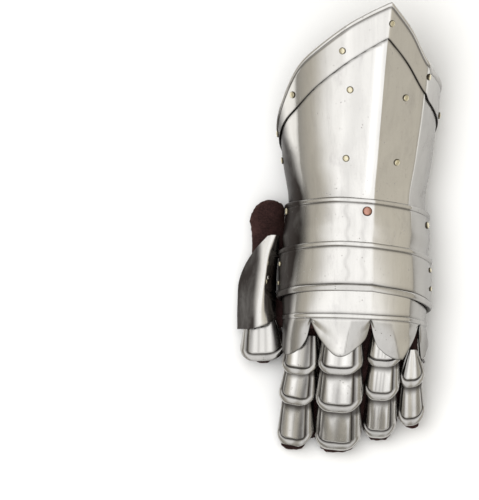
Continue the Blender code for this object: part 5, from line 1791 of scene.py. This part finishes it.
def studio_light():
    """Soft light from all round, in broad bands that run along the gauntlet."""
    world = bpy.data.worlds.new("studio")
    bpy.context.scene.world = world
    world.use_nodes = True
    g = Graph(world.node_tree)
    way = g.node("ShaderNodeTexCoord").out("Generated")
    parts = g.node("ShaderNodeSeparateXYZ", Vector=way)
    angle = parts.out("X").turn(parts.out("Z"))
    place = angle / (2.0 * math.pi) + 0.5
    ramp = g.node("ShaderNodeValToRGB", Fac=place)
    bands = ramp.node.color_ramp
    bands.interpolation = "B_SPLINE"
    while len(bands.elements) > 1:
        bands.elements.remove(bands.elements[-1])
    for k, (degrees, light, warmth) in enumerate(STUDIO):
        at = min(max(degrees / 360.0 + 0.5, 0.0), 1.0)
        item = bands.elements[0] if k == 0 else bands.elements.new(at)
        item.position = at
        share = light / STUDIO_STRENGTH
        item.color = (*(share * (1.0 - fade * warmth) for fade in WARM_FADES), 1.0)
    ends = parts.out("Y")
    far = 1.0 - (ends.size() - 0.55).between(0.0, 0.4) * END_FADE
    light = g.node("ShaderNodeBackground", Color=ramp.out("Color"), Strength=far * STUDIO_STRENGTH)
    out = g.node("ShaderNodeOutputWorld")
    g.join(light.out("Background"), out.node.inputs["Surface"])


def soft_lamp(name, spot, size, power, aim=(0.0, 0.0, 0.02)):
    lamp = bpy.data.lights.new(name, "AREA")
    lamp.shape = "RECTANGLE"
    lamp.size, lamp.size_y = size
    lamp.energy = power
    obj = linked(lamp, name)
    obj.location = spot
    obj.rotation_euler = (Vector(aim) - Vector(spot)).to_track_quat("-Z", "Y").to_euler()
    return obj


def stage_and_camera():
    corners = [(x * FLOOR_HALF, y * FLOOR_HALF, 0.0)
               for x, y in ((-1, -1), (1, -1), (1, 1), (-1, 1))]
    floor_mesh = mesh_of("floor", corners, [(0, 1, 2, 3)])
    floor_mesh.materials.append(floor_finish())
    floor = linked(floor_mesh, "floor")
    floor.location.z = -FLOOR_DROP
    studio_light()
    lamp = soft_lamp("overhead", LAMP_SPOT, LAMP_SIZE, LAMP_POWER)
    lamp.visible_glossy = False
    camera = linked(bpy.data.cameras.new("camera"), "camera")
    camera.data.type = "ORTHO"
    camera.data.ortho_scale = VIEW_TALL * PIXEL
    camera.data.clip_start = 0.05
    camera.data.clip_end = 10.0
    camera.location = (*VIEW_CENTRE, CAMERA_HEIGHT)
    bpy.context.scene.camera = camera
    bpy.context.scene.view_settings.view_transform = "Standard"


def main():
    steel = steel_finish()
    yellow = domed_metal("brass", *BRASS)
    red = domed_metal("copper", *COPPER)
    cuff_plate(steel)
    cuff_border(steel)
    lame("wrist_lame", WRIST_TOP, WRIST_FOOT, LAP, 0.0, steel, "wrist", seed=7)
    lame("second_lame", SECOND_TOP, SECOND_FOOT, LAP, LAP, steel, "second", True, seed=9)
    hand_plate(steel)
    for n, (name, path, scales, roll, *_) in enumerate(FINGERS):
        for k, span in enumerate(scales):
            leaf = LITTLE_LEAF if name == "little" and k == 0 else 0.0
            finger_scale(f"{name}_scale_{k + 1}", path, span, roll, steel, leaf, k == 0,
                         40 + 5 * n + k, SCALE_GROOVES[name], SCALE_MARKS[name])
    finger_scale("thumb_scale", THUMB_PATH, THUMB_SCALE, 0.0, steel, THUMB_LEAF, True, 61,
                 SCALE_GROOVES["thumb"], SCALE_MARKS["thumb"])
    thumb_plate(steel)
    all_rivets(steel, yellow, red)
    strap_and_buckle(leather_finish(), steel)
    suede_glove(suede_finish())
    stage_and_camera()


main()
